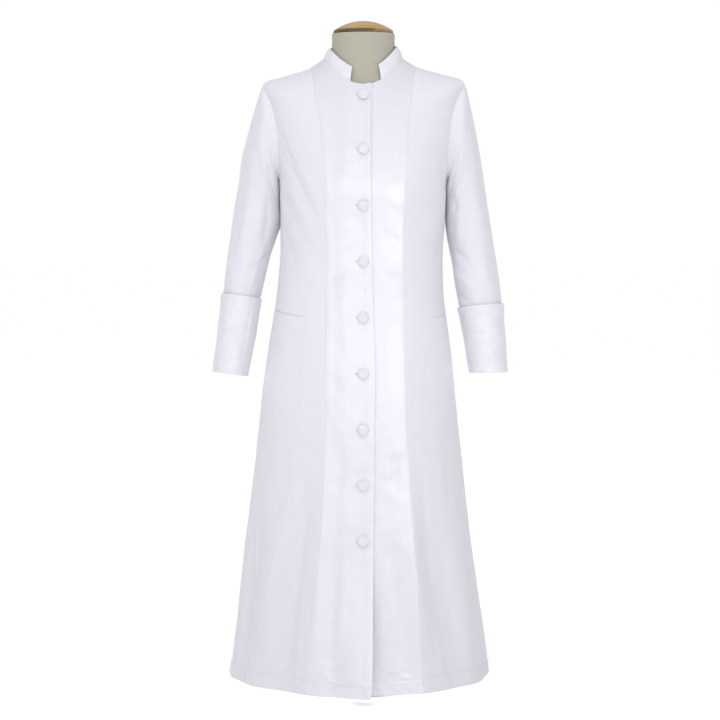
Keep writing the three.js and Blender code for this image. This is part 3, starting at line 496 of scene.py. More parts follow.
# --- Seams and panels ---
def row_places():
    """The rows of every body panel: even steps, closer at the hem and at the pockets."""
    starts = [HEM["foot"], *(end for end, _ in ROW_BANDS)]
    heights = np.concatenate([
        np.arange(start, end, step) for start, (end, step) in zip(starts, ROW_BANDS)
    ])
    levels = np.linspace(0, UNDERARM, 1201)
    found = np.interp(heights, level("side", levels), levels)
    places = np.interp(found, LOWER_ROWS, range(LOWER + 1))
    return np.concatenate([places, np.linspace(LOWER, ROWS, UPPER_ROWS)])


def row_level(k, top):
    low = np.interp(k, range(LOWER + 1), LOWER_ROWS)
    return np.where(k <= LOWER, low, UNDERARM + (top - UNDERARM) * (k - LOWER) / UPPER_STEPS)


def front_seam(sign):
    column = "seam_right" if sign < 0 else "seam_left"

    def at(k):
        t = row_level(k, SEAM_TOP)
        return angle_at(sign * level(column, t), t), t
    return at


def upper_edge(k):
    t = row_level(k, NECKLINE)
    return angle_at(level("edge", t), t), t


def lower_edge(k):
    t = row_level(k, NECKLINE)
    return angle_at(-UNDERLAP + 0 * t, t), t


def side_seam(sign, facing):
    """The side seam, and above it the armhole's front (facing 1) or back (facing -1)."""
    def at(k):
        hem = SIDE_SEAM["right" if sign < 0 else "left"]
        t = row_level(k, NECKLINE)
        turn = math.pi * (1 - (k - LOWER) / UPPER_STEPS)
        low = sign * (hem + (SIDE_SEAM["top"] - hem) * t / UNDERARM)
        high = sign * (90 - facing * ARMHOLE_HALF * np.sin(turn))
        tall = UNDERARM + (SHOULDER_TIP - UNDERARM) * (1 + np.cos(turn)) / 2
        angle, t = np.where(k <= LOWER, low, high), np.where(k <= LOWER, t, tall)
        return (np.where(angle < 0, angle + 360, angle) if facing < 0 else angle), t
    return at


def places_between(first, last, columns, top=None):
    """A grid of angles and levels between two seams. top gives the top row's places."""
    k = row_places()
    share = np.linspace(0, 1, columns + 1)
    a, b = first(k), last(k)
    grid = [x[:, None] + (y - x)[:, None] * share for x, y in zip(a, b)]
    if top:
        bend = np.where(k > LOWER, ((k - LOWER) / UPPER_STEPS) ** 2, 0)[:, None]
        for i, wanted in enumerate(top(share)):
            grid[i] = grid[i] + bend * (wanted - grid[i][-1])
    return grid


def crease_out(s, z, table, arc):
    """The sum of a table's soft creases at places s round and z along."""
    out = np.zeros(np.broadcast(s, z).shape)
    for s0, z0, s1, z1, half, tall, bow in table:
        start = np.array([s0 * arc, z0])
        way = np.array([s1 * arc, z1]) - start
        length = np.linalg.norm(way)
        way /= length
        x, y = s * arc - start[0], z - start[1]
        along = (x * way[0] + y * way[1]) / length
        bent = bow * 4 * np.clip(along, 0, 1) * (1 - np.clip(along, 0, 1))
        across = (y * way[0] - x * way[1] - bent) / half
        ends = smooth(*CREASE_ENDS[0], along) * smooth(*CREASE_ENDS[1], along)
        out += tall * ends * np.exp(-across ** 2)
    return out


def ripples(s, z, name):
    """Soft unevenness from a few long waves, between -1 and 1 or so."""
    seed, waves, low, high = RIPPLES[name]
    rng = np.random.default_rng(seed)
    spans = ((0, math.pi), (low, high), (0, 2 * math.pi))
    out = np.zeros(np.broadcast(s, z).shape)
    for _ in range(waves):
        turn, length, phase = (rng.uniform(*span) for span in spans)
        out += np.sin((s * math.cos(turn) + z * math.sin(turn)) * 2 * math.pi / length + phase)
    return out / math.sqrt(waves)


def seam_dip(distance):
    """A sewn seam: a narrow groove, and a low ridge where its allowance lies beneath."""
    groove = -SEAM["groove"] * bell(distance, SEAM["reach"])
    rise, fall = smooth(*SEAM["rise"], distance), smooth(*SEAM["fall"], distance)
    return groove + SEAM["ridge"] * rise * fall


def from_edge(points, column):
    return np.linalg.norm(points - points[:, column][:, None], axis=-1)


def drifting_wave(s, length, drift, drift_length):
    return np.sin(s * 2 * math.pi / length + drift * np.sin(s / drift_length))


def body_cloth(angle, z, satin):
    """How far the cloth of the body stands off its smooth surface at each place."""
    settings = bpy.context.scene.robe_cloth
    shown = np.where(angle > 180, angle - 360, angle)
    in_front = FRONT_CREASES + POCKET_RIDGES + (SATIN_CREASES if satin else [])
    out = crease_out(angle, z, BACK_CREASES, ARC) + crease_out(shown, z, in_front, ARC)
    s = shown * ARC
    soft = ripples(s, z * UPWARD, "body")
    if satin:
        on_skirt = smooth(SATIN_RIPPLE["from"], SATIN_RIPPLE["to"], z)
        uneven = SATIN_RIPPLE["satin"] + SATIN_RIPPLE["skirt"] * on_skirt
        soft = soft * SATIN_RIPPLE["matte"] + ripples(s, z, "satin") * uneven
    out += settings.ripple / MM * soft
    # The turned-up hem: a thicker band below a puckered line of stitches
    over = z - HEM["foot"]
    pucker = 0.5 + 0.5 * drifting_wave(s, *HEM["pucker"])
    out += HEM["band"] * smooth(HEM["deep"], HEM["deep"] - 3, over)
    out -= bell(over - HEM["deep"], HEM["line"]) * (0.5 + 0.5 * pucker)
    wave = drifting_wave(s, *HEM["waves"])
    out += HEM["wave"] * wave * smooth(HEM["deep"], HEM["deep"] * 0.4, over) * smooth(-2, 10, over)
    over_shoulder = smooth(CREASE_TOP["from"], CREASE_TOP["to"], z)
    return out * settings.crease * (1 - CREASE_TOP["less"] * over_shoulder)


def body_panel(places, satin=False, lift=None, sewn=(True, True), extra=None):
    """A body panel's grid of outer points, with its creases, and its normals."""
    angle, t = places
    normals = body_normal(angle, t)
    points = body_point(angle, t)
    if lift:
        points = points + normals * lift(points[..., 0], points[..., 2])[..., None]
    out = body_cloth(angle, points[..., 2], satin)
    below_armhole = smooth(*SEAM_FADE, points[..., 2])
    for sewn_here, column in zip(sewn, (0, -1)):
        if sewn_here:
            at_armhole = np.abs(angle[:, column] % 180 - 90) < ARMHOLE_HALF + 2
            share = np.where(at_armhole[:, None], below_armhole, 1)
            out += seam_dip(from_edge(points, column)) * share
    if extra is not None:
        out += extra(points)
    below_top = np.linalg.norm(points - points[-1:], axis=-1)
    out *= smooth(0, TOP_FADE, below_top)
    points = points + normals * out[..., None]
    for sewn_here, column, nearer in zip(sewn, (0, -1), (1, -2)):
        if sewn_here:
            points[:, column] += unit(points[:, nearer] - points[:, column]) * SEAM_GAP / 2
    points[-1] += unit(points[-2] - points[-1]) * SEAM_GAP / 2
    return points, normals


# --- Pieces from grids of points ---
def metric_uv(points):
    """UVs in metres: the way along each row, and the way up each column."""
    across = np.linalg.norm(np.diff(points, axis=1), axis=-1)
    up = np.linalg.norm(np.diff(points, axis=0), axis=-1)
    u = np.concatenate([np.zeros((len(points), 1)), np.cumsum(across, 1)], 1)
    v = np.concatenate([np.zeros((1, points.shape[1])), np.cumsum(up, 0)], 0)
    u = u - u.mean(axis=1, keepdims=True)
    v = np.repeat(v.mean(axis=1, keepdims=True), points.shape[1], 1)
    return np.stack([u, v], -1) * MM


def use_only(obj):
    bpy.ops.object.select_all(action="DESELECT")
    obj.select_set(True)
    bpy.context.view_layer.objects.active = obj


def edit_mesh(obj, *steps):
    """Runs edit-mode operators on all of a mesh."""
    use_only(obj)
    bpy.ops.object.mode_set(mode="EDIT")
    bpy.ops.mesh.select_all(action="SELECT")
    for operator, values in steps:
        operator(**values)
    bpy.ops.object.mode_set(mode="OBJECT")


def grid_piece(name, points, outward, closed=False):
    """A grid primitive laid on a table of points. outward gives the ways out at places on it."""
    rows, columns = points.shape[:2]
    bpy.ops.object.select_all(action="DESELECT")
    bpy.ops.mesh.primitive_grid_add(
        x_subdivisions=columns - 1, y_subdivisions=rows - 1, size=1, calc_uvs=True,
    )
    obj = bpy.context.object
    obj.name = obj.data.name = name
    mesh = obj.data
    mesh.vertices.foreach_set("co", (points * MM).astype(np.float32).ravel())
    loops = np.zeros(len(mesh.loops), np.int32)
    mesh.loops.foreach_get("vertex_index", loops)
    uv = metric_uv(points).reshape(-1, 2)[loops]
    mesh.uv_layers[0].data.foreach_set("uv", uv.astype(np.float32).ravel())
    mesh.update()
    if closed:
        edit_mesh(obj, (bpy.ops.mesh.remove_doubles, {"threshold": 0.00001}))
    turn_outward(obj, outward)
    return obj


def turn_outward(obj, outward):
    """Flips the faces when most of them face against the ways out at their centres."""
    mesh = obj.data
    facing = np.zeros(len(mesh.polygons) * 3)
    centres = np.zeros(len(mesh.polygons) * 3)
    mesh.polygons.foreach_get("normal", facing)
    mesh.polygons.foreach_get("center", centres)
    if np.sum(facing.reshape(-1, 3) * outward(centres.reshape(-1, 3))) < 0:
        edit_mesh(obj, (bpy.ops.mesh.flip_normals, {}))


def give_wall(obj, thickness):
    """Turns a surface into a thin wall that grows inward."""
    use_only(obj)
    wall = obj.modifiers.new("Wall", "SOLIDIFY")
    wall.thickness = thickness * MM
    wall.offset = -1
    wall.use_even_offset = False
    bpy.ops.object.modifier_apply(modifier=wall.name)


def finish_piece(obj, finish, replaced=()):
    """Shades a piece, gives it its material and sets it on the body."""
    use_only(obj)
    bpy.ops.object.shade_smooth_by_angle(angle=math.radians(SMOOTH_ANGLE))
    obj.data.materials.clear()
    obj.data.materials.append(finish_material(finish))
    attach(obj, "root")
    if replaced:
        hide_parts(*replaced)


def away_from(*middle):
    """The way out of a round piece, which is away from its middle."""
    return lambda centres: centres - middle


def away_from_axis(centres):
    """The way out of the body, which is away from its upright axis."""
    return centres * (1, 1, 0)


def cloth_piece(
    node, points, finish, wall=WALL, outward=away_from_axis, closed=False,
):
    """A piece of cloth from its outer points, in a node's place."""
    piece = grid_piece(f"{node}_cloth", points, outward, closed)
    give_wall(piece, wall)
    finish_piece(piece, finish, [node])


# --- Finishes ---
def new_material(name, colour, roughness):
    material = bpy.data.materials.new(name)
    material.use_nodes = True
    shader = material.node_tree.nodes["Principled BSDF"]
    shader.inputs["Base Color"].default_value = (*colour, 1)
    shader.inputs["Roughness"].default_value = roughness
    return material, material.node_tree, shader


def add_node(tree, kind, values=(), **attributes):
    node = tree.nodes.new(kind)
    for name, value in attributes.items():
        setattr(node, name, value)
    for name, value in dict(values).items():
        node.inputs[name].default_value = value
    return node


def pattern(tree, source, scale, detail, roughness, stretch=(1, 1, 1)):
    """Noise on a coordinate output, and its factor."""
    place = add_node(tree, "ShaderNodeMapping", {"Scale": stretch})
    tree.links.new(source, place.inputs["Vector"])
    values = {"Scale": scale, "Detail": detail, "Roughness": roughness}
    noise = add_node(tree, "ShaderNodeTexNoise", values)
    tree.links.new(place.outputs["Vector"], noise.inputs["Vector"])
    return noise.outputs["Fac"]


def colour_variation(tree, shader, factor, colour, shades, span=(0.3, 0.7)):
    """A colour that goes from a darker to a lighter shade with a pattern's factor."""
    ramp = add_node(tree, "ShaderNodeValToRGB")
    for element, position, shade in zip(ramp.color_ramp.elements, span, shades):
        element.position = position
        element.color = (*(min(1, c * shade) for c in colour), 1)
    tree.links.new(factor, ramp.inputs["Fac"])
    tree.links.new(ramp.outputs["Color"], shader.inputs["Base Color"])


def bumps(tree, shader, *heights):
    """A chain of bumps: height output, strength, distance."""
    normal = None
    for height, strength, distance in heights:
        bump = add_node(tree, "ShaderNodeBump", {"Strength": strength, "Distance": distance})
        tree.links.new(height, bump.inputs["Height"])
        if normal:
            tree.links.new(normal, bump.inputs["Normal"])
        normal = bump.outputs["Normal"]
    tree.links.new(normal, shader.inputs["Normal"])


def weave(tree, uv, pitch):
    """Plain weave from two crossed bands on the cloth's own UVs."""
    bands = []
    for direction in ("X", "Y"):
        wave = add_node(
            tree, "ShaderNodeTexWave",
            {"Scale": math.pi / (10 * pitch), "Distortion": 0.6, "Detail": 1, "Detail Scale": 2},
            wave_type="BANDS", bands_direction=direction,
        )
        tree.links.new(uv, wave.inputs["Vector"])
        bands.append(wave.outputs["Fac"])
    joined = add_node(tree, "ShaderNodeMath", operation="ADD")
    for i, band in enumerate(bands):
        tree.links.new(band, joined.inputs[i])
    return joined.outputs["Value"]


def mapped_height(tree, place, low, high, to_low, to_high):
    """A value that follows the height: a map range node, from a texture coordinate node."""
    axes = add_node(tree, "ShaderNodeSeparateXYZ")
    tree.links.new(place.outputs["Object"], axes.inputs["Vector"])
    values = {"From Min": low, "From Max": high, "To Min": to_low, "To Max": to_high}
    height = add_node(tree, "ShaderNodeMapRange", values)
    tree.links.new(axes.outputs["Z"], height.inputs["Value"])
    return axes, height


def painted_shade_below(tree, place, factor, lowest=0.12):
    """A pattern's factor, joined with the height: painted shade makes the skirt's colour a little
    darker towards the hem.
    """
    _, height = mapped_height(tree, place, 0, PAINTED_HEM_SHADE["up_to"], lowest, PAINTED_HEM_SHADE["high"])
    joined = add_node(tree, "ShaderNodeMath", operation="MULTIPLY_ADD")
    joined.inputs[1].default_value = PAINTED_HEM_SHADE["share"]
    tree.links.new(factor, joined.inputs[0])
    tree.links.new(height.outputs["Result"], joined.inputs[2])
    return joined.outputs["Value"]


def painted_rim_shade(tree, place, factor):
    """Painted shade on the cap: its rim is darker than its dome, less so at the wearer's left where
    the light falls, and the dome is painted lighter.
    """
    edge = (NECK["top"] + SEAM_GAP + CAP["rim"]) * MM
    low, high = edge - CAP_SHADE["below"], edge + CAP_SHADE["above"]
    axes, above = mapped_height(tree, place, low, high, 0, CAP_SHADE["dome"])
    span = {"From Min": 0, "From Max": CAP_SHADE["across"], "To Min": CAP_SHADE["rim"], "To Max": 0}
    across = add_node(tree, "ShaderNodeMapRange", span)
    tree.links.new(axes.outputs["X"], across.inputs["Value"])
    tree.links.new(across.outputs["Result"], above.inputs["To Min"])
    rim_shaded = add_node(tree, "ShaderNodeMath", operation="ADD")
    tree.links.new(factor, rim_shaded.inputs[0])
    tree.links.new(above.outputs["Result"], rim_shaded.inputs[1])
    return rim_shaded.outputs["Value"]


# Each finish's colour setting, roughness, slot and shades. Its first pattern varies the colour. A
# pattern is a coordinate, scale, detail, roughness and stretch, and a bump a pattern, strength and
# distance. "weave" is the share of the weave setting that is this cloth's own.
FINISHES = {
    "Satin": {
        "colour": ("robe_cloth", "satin"), "rough": 0.45, "slot": "satin", "shades": (0.935, 1.02),
        "patterns": {
            "mottle": ("Object", 17, 4, 0.6, (1, 1, 0.6)),
            "soft": ("Object", 22, 3, 0.5, (1, 1, 0.7)),
            "crinkle": ("Object", 60, 3, 0.55, (1, 1, 0.8)),
        },
        # painted shade makes the satin darker towards the hem
        "blend": partial(painted_shade_below, lowest=-0.1), "weave": 0.6,
        "bumps": [("soft", 0.16, 0.007), ("crinkle", 0.07, 0.0015), ("threads", 0.06, 0.0001)],
        "shader": {
            "Specular IOR Level": 1, "Metallic": 0.1, "Sheen Weight": 0.12, "Sheen Roughness": 0.4,
            "Anisotropic": 0.35,
        },
    },
    "Soft satin": {
        "colour": ("robe_cloth", "facing"), "rough": 0.55, "slot": "satin", "shades": (0.955, 1.03),
        "patterns": {
            "mottle": ("Object", 34, 4, 0.6), "soft": ("Object", 26, 3, 0.5),
            "crinkle": ("Object", 75, 3, 0.6),
        },
        "weave": 0.6,
        "bumps": [("soft", 0.45, 0.005), ("crinkle", 0.3, 0.0016), ("threads", 0.06, 0.0001)],
        "shader": {
            "Specular IOR Level": 0.5, "Sheen Weight": 0.35, "Sheen Roughness": 0.4,
            "Anisotropic": 0.3,
        },
    },
    "Matte cloth": {
        "colour": ("robe_cloth", "cloth"), "rough": 0.85, "slot": "cloth", "shades": (0.92, 1.02),
        "patterns": {
            "slubs": ("UV", 90, 4, 0.65, (3, 0.35, 1)), "soft": ("Object", 16, 3, 0.5, (1, 1, 0.5)),
        },
        # painted shade makes the matte cloth darker towards the hem
        "blend": painted_shade_below, "weave": 1,
        "bumps": [("soft", 0.3, 0.006), ("slubs", 0.12, 0.0006), ("threads", 0.25, 0.0002)],
        "shader": {"Specular IOR Level": 0.25, "Sheen Weight": 0.36, "Sheen Roughness": 0.5},
    },
    "Sewing thread": {
        "colour": ("robe_cloth", "cloth"), "rough": 0.6, "slot": "satin", "shades": (0.82, 0.98),
        "patterns": {"twist": ("Object", 2500, 2, 0.5)},
        "bumps": [("twist", 0.4, 0.0001)],
    },
    "Covered button": {
        "colour": ("robe_cloth", "facing"), "rough": 0.42, "slot": "button", "shades": (0.86, 0.98),
        "patterns": {"worn": ("Object", 160, 3, 0.6), "fine": ("Object", 900, 3, 0.6)},
        "bumps": [("worn", 0.25, 0.0008), ("fine", 0.3, 0.0001)],
        "shader": {"Sheen Weight": 0.15},
    },
    "Natural linen": {
        "colour": ("robe_form", "linen"), "rough": 0.9, "slot": "canvas", "shades": (0.94, 1.04),
        "patterns": {"slubs": ("UV", 420, 4, 0.65, (1, 0.5, 1))},
        "weave": 1,
        "bumps": [("slubs", 0.3, 0.0006), ("threads", 0.5, 0.0003)],
        "shader": {"Specular IOR Level": 0.2, "Sheen Weight": 0.2},
    },
    "Varnished wood": {
        "colour": ("robe_form", "wood"), "rough": 0.34, "slot": "wood", "shades": (0.3, 1.4),
        "patterns": {"grain": ("Object", 90, 6, 0.65, (0.25, 1.6, 1.6))},
        # painted shade darkens the rim, and the dome is painted lighter
        "blend": painted_rim_shade, "span": (0.2, 0.72),
        "bumps": [("grain", 0.12, 0.0006)],
        "shader": {"Specular IOR Level": 0.35, "Coat Weight": 0.2, "Coat Roughness": 0.25},
    },
    "Brushed steel": {
        "colour": ("robe_form", "steel"), "rough": 0.34, "slot": "steel", "shades": (0.85, 1.12),
        "patterns": {"brushed": ("Object", 140, 4, 0.6, (1, 1, 14))},
        "bumps": [("brushed", 0.1, 0.0002)],
        "shader": {"Metallic": 1},
    },
}


def finish_material(name):
    """One of the FINISHES, which is made when a piece first asks for it."""
    if name in bpy.data.materials:
        return bpy.data.materials[name]
    plan = FINISHES[name]
    group, setting = plan["colour"]
    settings = getattr(bpy.context.scene, group)
    colour = getattr(settings, setting)
    material, tree, shader = new_material(name, colour, plan["rough"])
    place = add_node(tree, "ShaderNodeTexCoord")
    factors = {
        key: pattern(tree, place.outputs[source], *rest)
        for key, (source, *rest) in plan["patterns"].items()
    }
    factor = next(iter(factors.values()))
    if "blend" in plan:
        factor = plan["blend"](tree, place, factor)
    colour_variation(tree, shader, factor, colour, plan["shades"], plan.get("span", (0.3, 0.7)))
    if "weave" in plan:
        factors["threads"] = weave(tree, place.outputs["UV"], settings.weave * plan["weave"])
    bumps(tree, shader, *((factors[key], *rest) for key, *rest in plan["bumps"]))
    for socket, value in plan.get("shader", {}).items():
        shader.inputs[socket].default_value = value
    return material


# --- Pieces ---
def front_places(sign):
    """The places of a satin front. Its top runs along the shoulder seam, then the neckline."""
    upper = sign < 0
    edge = upper_edge if upper else lower_edge
    seam = front_seam(sign)
    edge_angle = float(edge(np.array(float(ROWS)))[0])

    def top(share):
        shoulder, neck = FRONT_TOP["shoulder"], FRONT_TOP["neck"]
        steps = (share if upper else 1 - share) * (shoulder + neck)
        on_shoulder = steps <= shoulder
        round_neck = sign * 90 + (edge_angle - sign * 90) * (steps - shoulder) / neck
        t = SEAM_TOP + (NECKLINE - SEAM_TOP) * steps / shoulder
        return np.where(on_shoulder, sign * 90, round_neck), np.where(on_shoulder, t, NECKLINE)

    return places_between(*((seam, edge) if upper else (edge, seam)), COLUMNS["front"], top)


class ROBE_OT_satin_fronts(bpy.types.Operator):
    """Builds the two satin fronts, the wearer's right one lapped over the left"""

    bl_idname = "robe.satin_fronts"
    bl_label = "Satin Fronts"

    def execute(self, context):
        # The upper front's free edge is pressed, and turns in a little
        def pressed(points):
            return -EDGE_PRESS["deep"] * bell(from_edge(points, -1), EDGE_PRESS["reach"])

        for sign, node, lift, extra in (
            (-1, "front_right", upper_front_lift, pressed),
            (1, "front_left", lower_front_lift, None),
        ):
            points, _ = body_panel(front_places(sign), True, lift, (sign < 0, sign > 0), extra)
            cloth_piece(node, points, "Satin")
        return {"FINISHED"}


def side_front_places(sign):
    seams = [front_seam(sign), side_seam(sign, 1)]
    return places_between(*(seams[::-1] if sign < 0 else seams), COLUMNS["side_front"])


def welt_height(side, step):
    """How far along its pocket a step across the side front is, and the pocket's height there."""
    span = WELT_SPANS[side]
    run = (step - span["from"]) / (span["to"] - span["from"])
    return run, span["outer"] + (span["inner"] - span["outer"]) * run


def welt_line(side, points, edge):
    """A line across a side front, this far above the middle of its welt, as points."""
    columns = points.shape[1] - 1
    places = []
    span = WELT_SPANS[side]
    for step in np.linspace(span["from"], span["to"], WELT["columns"]):
        column = (step if side == "right" else 1 - step) * columns
        low = int(min(column, columns - 1))
        line = points[:, low] + (points[:, low + 1] - points[:, low]) * (column - low)
        height = edge + welt_height(side, step)[1]
        places.append([np.interp(height, line[:, 2], line[:, axis]) for axis in range(3)])
    return np.array(places)


def pocket_slit(side):
    """The slit below the welt, as a narrow sunk line."""
    def extra(points):
        share = np.linspace(0, 1, points.shape[1])[None]
        run, height = welt_height(side, share if side == "right" else 1 - share)
        away = points[..., 2] - (height - WELT["tall"] / 2 - SLIT["below"])
        ends = smooth(-0.02, 0.03, run) * smooth(1.02, 0.97, run)
        deep = SLIT["outer"] - SLIT["less"] * np.clip(run, 0, 1)
        return -deep * ends * bell(away, SLIT["reach"])
    return extra


class ROBE_OT_side_fronts(bpy.types.Operator):
    """Builds the two matte side fronts and their pocket welts"""

    bl_idname = "robe.side_fronts"
    bl_label = "Side Fronts"

    def execute(self, context):
        for sign, side in ((-1, "right"), (1, "left")):
            lift = upper_front_lift if sign < 0 else None
            points, _ = body_panel(side_front_places(sign), lift=lift, extra=pocket_slit(side))
            cloth_piece(f"side_front_{side}", points, "Matte cloth")
            self.welt(side, points)
        return {"FINISHED"}

    def welt(self, side, points):
        """A folded strip above the slit, fuller in the middle than at its edges."""
        across = np.linspace(-1, 1, WELT["rows"])
        line = np.array([welt_line(side, points, WELT["tall"] / 2 * x) for x in across])
        out = unit(np.cross(np.gradient(line, axis=1), np.gradient(line, axis=0)))
        out *= np.sign((out * line * (1, 1, 0)).sum(-1, keepdims=True))
        along = np.linspace(0, 1, line.shape[1])[None]
        ends = smooth(0, WELT["ends"], along) * smooth(1, 1 - WELT["ends"], along)
        full = WELT["flat"] + (1 - WELT["flat"]) * (1 - across[:, None] ** 2)
        tall = WELT["lift"] + WELT["full"] * WELT["wall"] * full * ends
        points = line + out * tall[..., None]
        wall = WELT["wall"] * WELT["cloth"]
        cloth_piece(f"pocket_welt_{side}", points, "Matte cloth", wall=wall)


class ROBE_OT_back(bpy.types.Operator):
    """Builds the back, which hangs in soft folds from the waist"""

    bl_idname = "robe.back"
    bl_label = "Back"

    def execute(self, context):
        def top(share):
            """The top runs up one shoulder seam, round the neckline and down the other seam."""
            shoulder, neck = BACK_TOP["shoulder"], BACK_TOP["neck"]
            steps = share * (2 * shoulder + neck)
            end = np.minimum(steps, 2 * shoulder + neck - steps)
            on_shoulder = end < shoulder
            t = SHOULDER_TIP + (NECKLINE - SHOULDER_TIP) * end / shoulder
            at_shoulder = np.where(steps < shoulder + neck / 2, 90, 270)
            round_neck = 90 + 180 * (steps - shoulder) / neck
            return (
                np.where(on_shoulder, at_shoulder, round_neck), np.where(on_shoulder, t, NECKLINE),
            )

        places = places_between(side_seam(1, -1), side_seam(-1, -1), COLUMNS["back"], top)
        points, _ = body_panel(places)
        cloth_piece("back", points, "Matte cloth")
        return {"FINISHED"}


def armhole_loop(sign, share):
    """The armhole at shares of a turn, from the shoulder tip down the front and up the back."""
    steps = share * (2 * UPPER_STEPS)
    down = steps <= UPPER_STEPS
    front = side_seam(sign, 1)(np.where(down, ROWS - steps, LOWER))
    behind = side_seam(sign, -1)(np.where(down, LOWER, LOWER + steps - UPPER_STEPS))
    behind_angle = np.where(behind[0] > 180, behind[0] - 360, behind[0]) if sign < 0 else behind[0]
    points = body_point(np.where(down, front[0], behind_angle), np.where(down, front[1], behind[1]))
    middle = points[:-1].mean(axis=0)
    return points + unit(middle - points) * 0.1 - np.array([sign * 0.5, 0, 0])


def sleeve_rings(side):
    sign = -1 if side == "right" else 1
    share = np.linspace(0, 1, COLUMNS["tube"] + 1)
    rings = [armhole_loop(sign, share)]
    turn = 2 * math.pi * share
    for outer_x, outer_z, inner_x, inner_z, y, depth in SLEEVES[side]:
        outer, inner = np.array([outer_x, y, outer_z]), np.array([inner_x, y, inner_z])
        middle = (outer + inner) / 2
        ahead = depth * np.sin(turn)
        ring = middle + (outer - middle) * np.cos(turn)[:, None]
        rings.append(ring + np.stack([0 * turn, -ahead, LEAN * ahead], -1))
    return np.array(rings)


def tube_normals(points):
    """Normals of a closed tube whose last column repeats its first."""
    ring = points[:, :-1]
    around = np.roll(ring, -1, 1) - np.roll(ring, 1, 1)
    normals = unit(np.cross(around, np.gradient(ring, axis=0)))
    middle = ring.mean(axis=1, keepdims=True)
    if np.sum(normals * (ring - middle)) < 0:
        normals = -normals
    return np.concatenate([normals, normals[:, :1]], 1)


def nearest_outward(middles):
    """The way out of a tube or a thread, from the nearest of its middles."""
    middles = middles * MM

    def outward(centres):
        nearest = np.argmin(((centres[:, None] - middles[None]) ** 2).sum(-1), axis=1)
        return centres - middles[nearest]
    return outward


def tube_places(points):
    """Where a tube's points are: how far round in degrees, and how far along."""
    steps = np.linalg.norm(np.diff(points, axis=0), axis=-1).mean(axis=1)
    along = np.concatenate([[0], np.cumsum(steps)])
    return np.linspace(0, 360, points.shape[1])[None], along[:, None]


def tube_ripples(turn, along, node):
    """Unevenness of a tube, which meets itself where the tube closes."""
    wave = np.radians(turn)
    return ripples(np.cos(wave) * TUBE_REACH, along + np.sin(wave) * TUBE_REACH, node)


def tube_moved(points, out):
    """A tube's points, moved out along its normals."""
    shaped = points + tube_normals(points) * out[..., None]
    shaped[:, -1] = shaped[:, 0]
    return shaped


class ROBE_OT_sleeves(bpy.types.Operator):
    """Builds the two long sleeves"""

    bl_idname = "robe.sleeves"
    bl_label = "Sleeves"

    def execute(self, context):
        crease = context.scene.robe_cloth.crease
        cloth, head = SLEEVE_CLOTH, SLEEVE_HEAD
        for side in ("right", "left"):
            node = f"sleeve_{side}"
            rows = np.concatenate([
                np.linspace(0, 1, cloth["head_rows"])[:-1],
                np.linspace(1, len(SLEEVES[side]), cloth["rows"]),
            ])
            points = through(sleeve_rings(side), rows)
            turn, along = tube_places(points)
            under_cuff = smooth(*cloth["under_cuff"], rows)[:, None]
            folds = crease_out(turn, along, SLEEVE_CREASES[side], TURN_ARC)
            soft = tube_ripples(turn, along * cloth["stretch"], node)
            out = (cloth["folds"] * folds + cloth["ripple"] * soft) * crease
            out = out * (1 - under_cuff) * smooth(0, cloth["fade"], along)
            rise, fall = smooth(*head["rise"], along), smooth(*head["fall"], along)
            out += head["deep"] * bell(along, head["reach"]) + head["full"] * rise * fall
            # The sleeve's own seam runs under the arm
            away = (turn - SLEEVE_SEAM["turn"]) * TURN_ARC
            out -= SLEEVE_SEAM["deep"] * bell(away, SLEEVE_SEAM["reach"]) * (1 - under_cuff)
            out -= cloth["sunk"] * under_cuff
            outward = nearest_outward(points[::12].mean(axis=1))
            cloth_piece(node, tube_moved(points, out), "Matte cloth", outward=outward, closed=True)
        return {"FINISHED"}


class ROBE_OT_cuffs(bpy.types.Operator):
    """Builds the satin cuffs, turned back over the sleeves' ends"""

    bl_idname = "robe.cuffs"
    bl_label = "Turned-Back Cuffs"

    def execute(self, context):
        crease = context.scene.robe_cloth.crease
        for side in ("right", "left"):
            node = f"cuff_{side}"
            rings = sleeve_rings(side)
            down = unit(rings[-1][:1] - rings[-2][:1]) * CUFF["past"]
            points = through(rings, np.linspace(CUFF["top"], CUFF["bottom"], CUFF["rows"]))
            points = np.concatenate([points, points[-1:] + down * 0.5, points[-1:] + down])
            turn, along = tube_places(points)
            soft = tube_ripples(turn, along, node)
            folds = crease_out(turn, along, CUFF_CREASES[side], TURN_ARC)
            out = CUFF["stand"] + STIFF_WALL + CUFF["mouth"] * smooth(CUFF["opens"], 0, along)
            uneven = np.maximum(folds * crease + CUFF["ripple"] * soft, CUFF["deepest"])
            out = out + uneven * smooth(0, CUFF["fade"], along)
            # The folded lower edge and the faced upper edge are rounded
            (fold, fold_reach), (rim, rim_reach) = CUFF["fold"], CUFF["rim"]
            out -= fold * bell(along[-1] - along, fold_reach) + rim * bell(along, rim_reach)
            middles = np.concatenate([rings[CUFF["top"]:], (rings[-1] + down)[None]]).mean(axis=1)
            cloth_piece(
                node, tube_moved(points, out), "Soft satin", CUFF["wall"],
                nearest_outward(middles), True,
            )
        return {"FINISHED"}


def collar_point(angle, share):
    s, c = np.sin(np.radians(angle)), np.cos(np.radians(angle))
    low = body_point(angle, NECKLINE + 0 * angle)
    depth = np.where(c > 0, COLLAR["ahead"], COLLAR["behind"])
    top = np.where(c > 0, COLLAR["front"], COLLAR["back"])
    side = COLLAR["side"] - COLLAR["drop"] * smooth(0, -0.9, s)
    high = np.stack([COLLAR["half"] * s, -depth * c, side + (top - side) * c * c], -1)
    bowed = COLLAR["bow"] * np.sin(math.pi * share)
    return low + (high - low) * share[..., None] + np.stack([s * bowed, -c * bowed, 0 * s], -1)


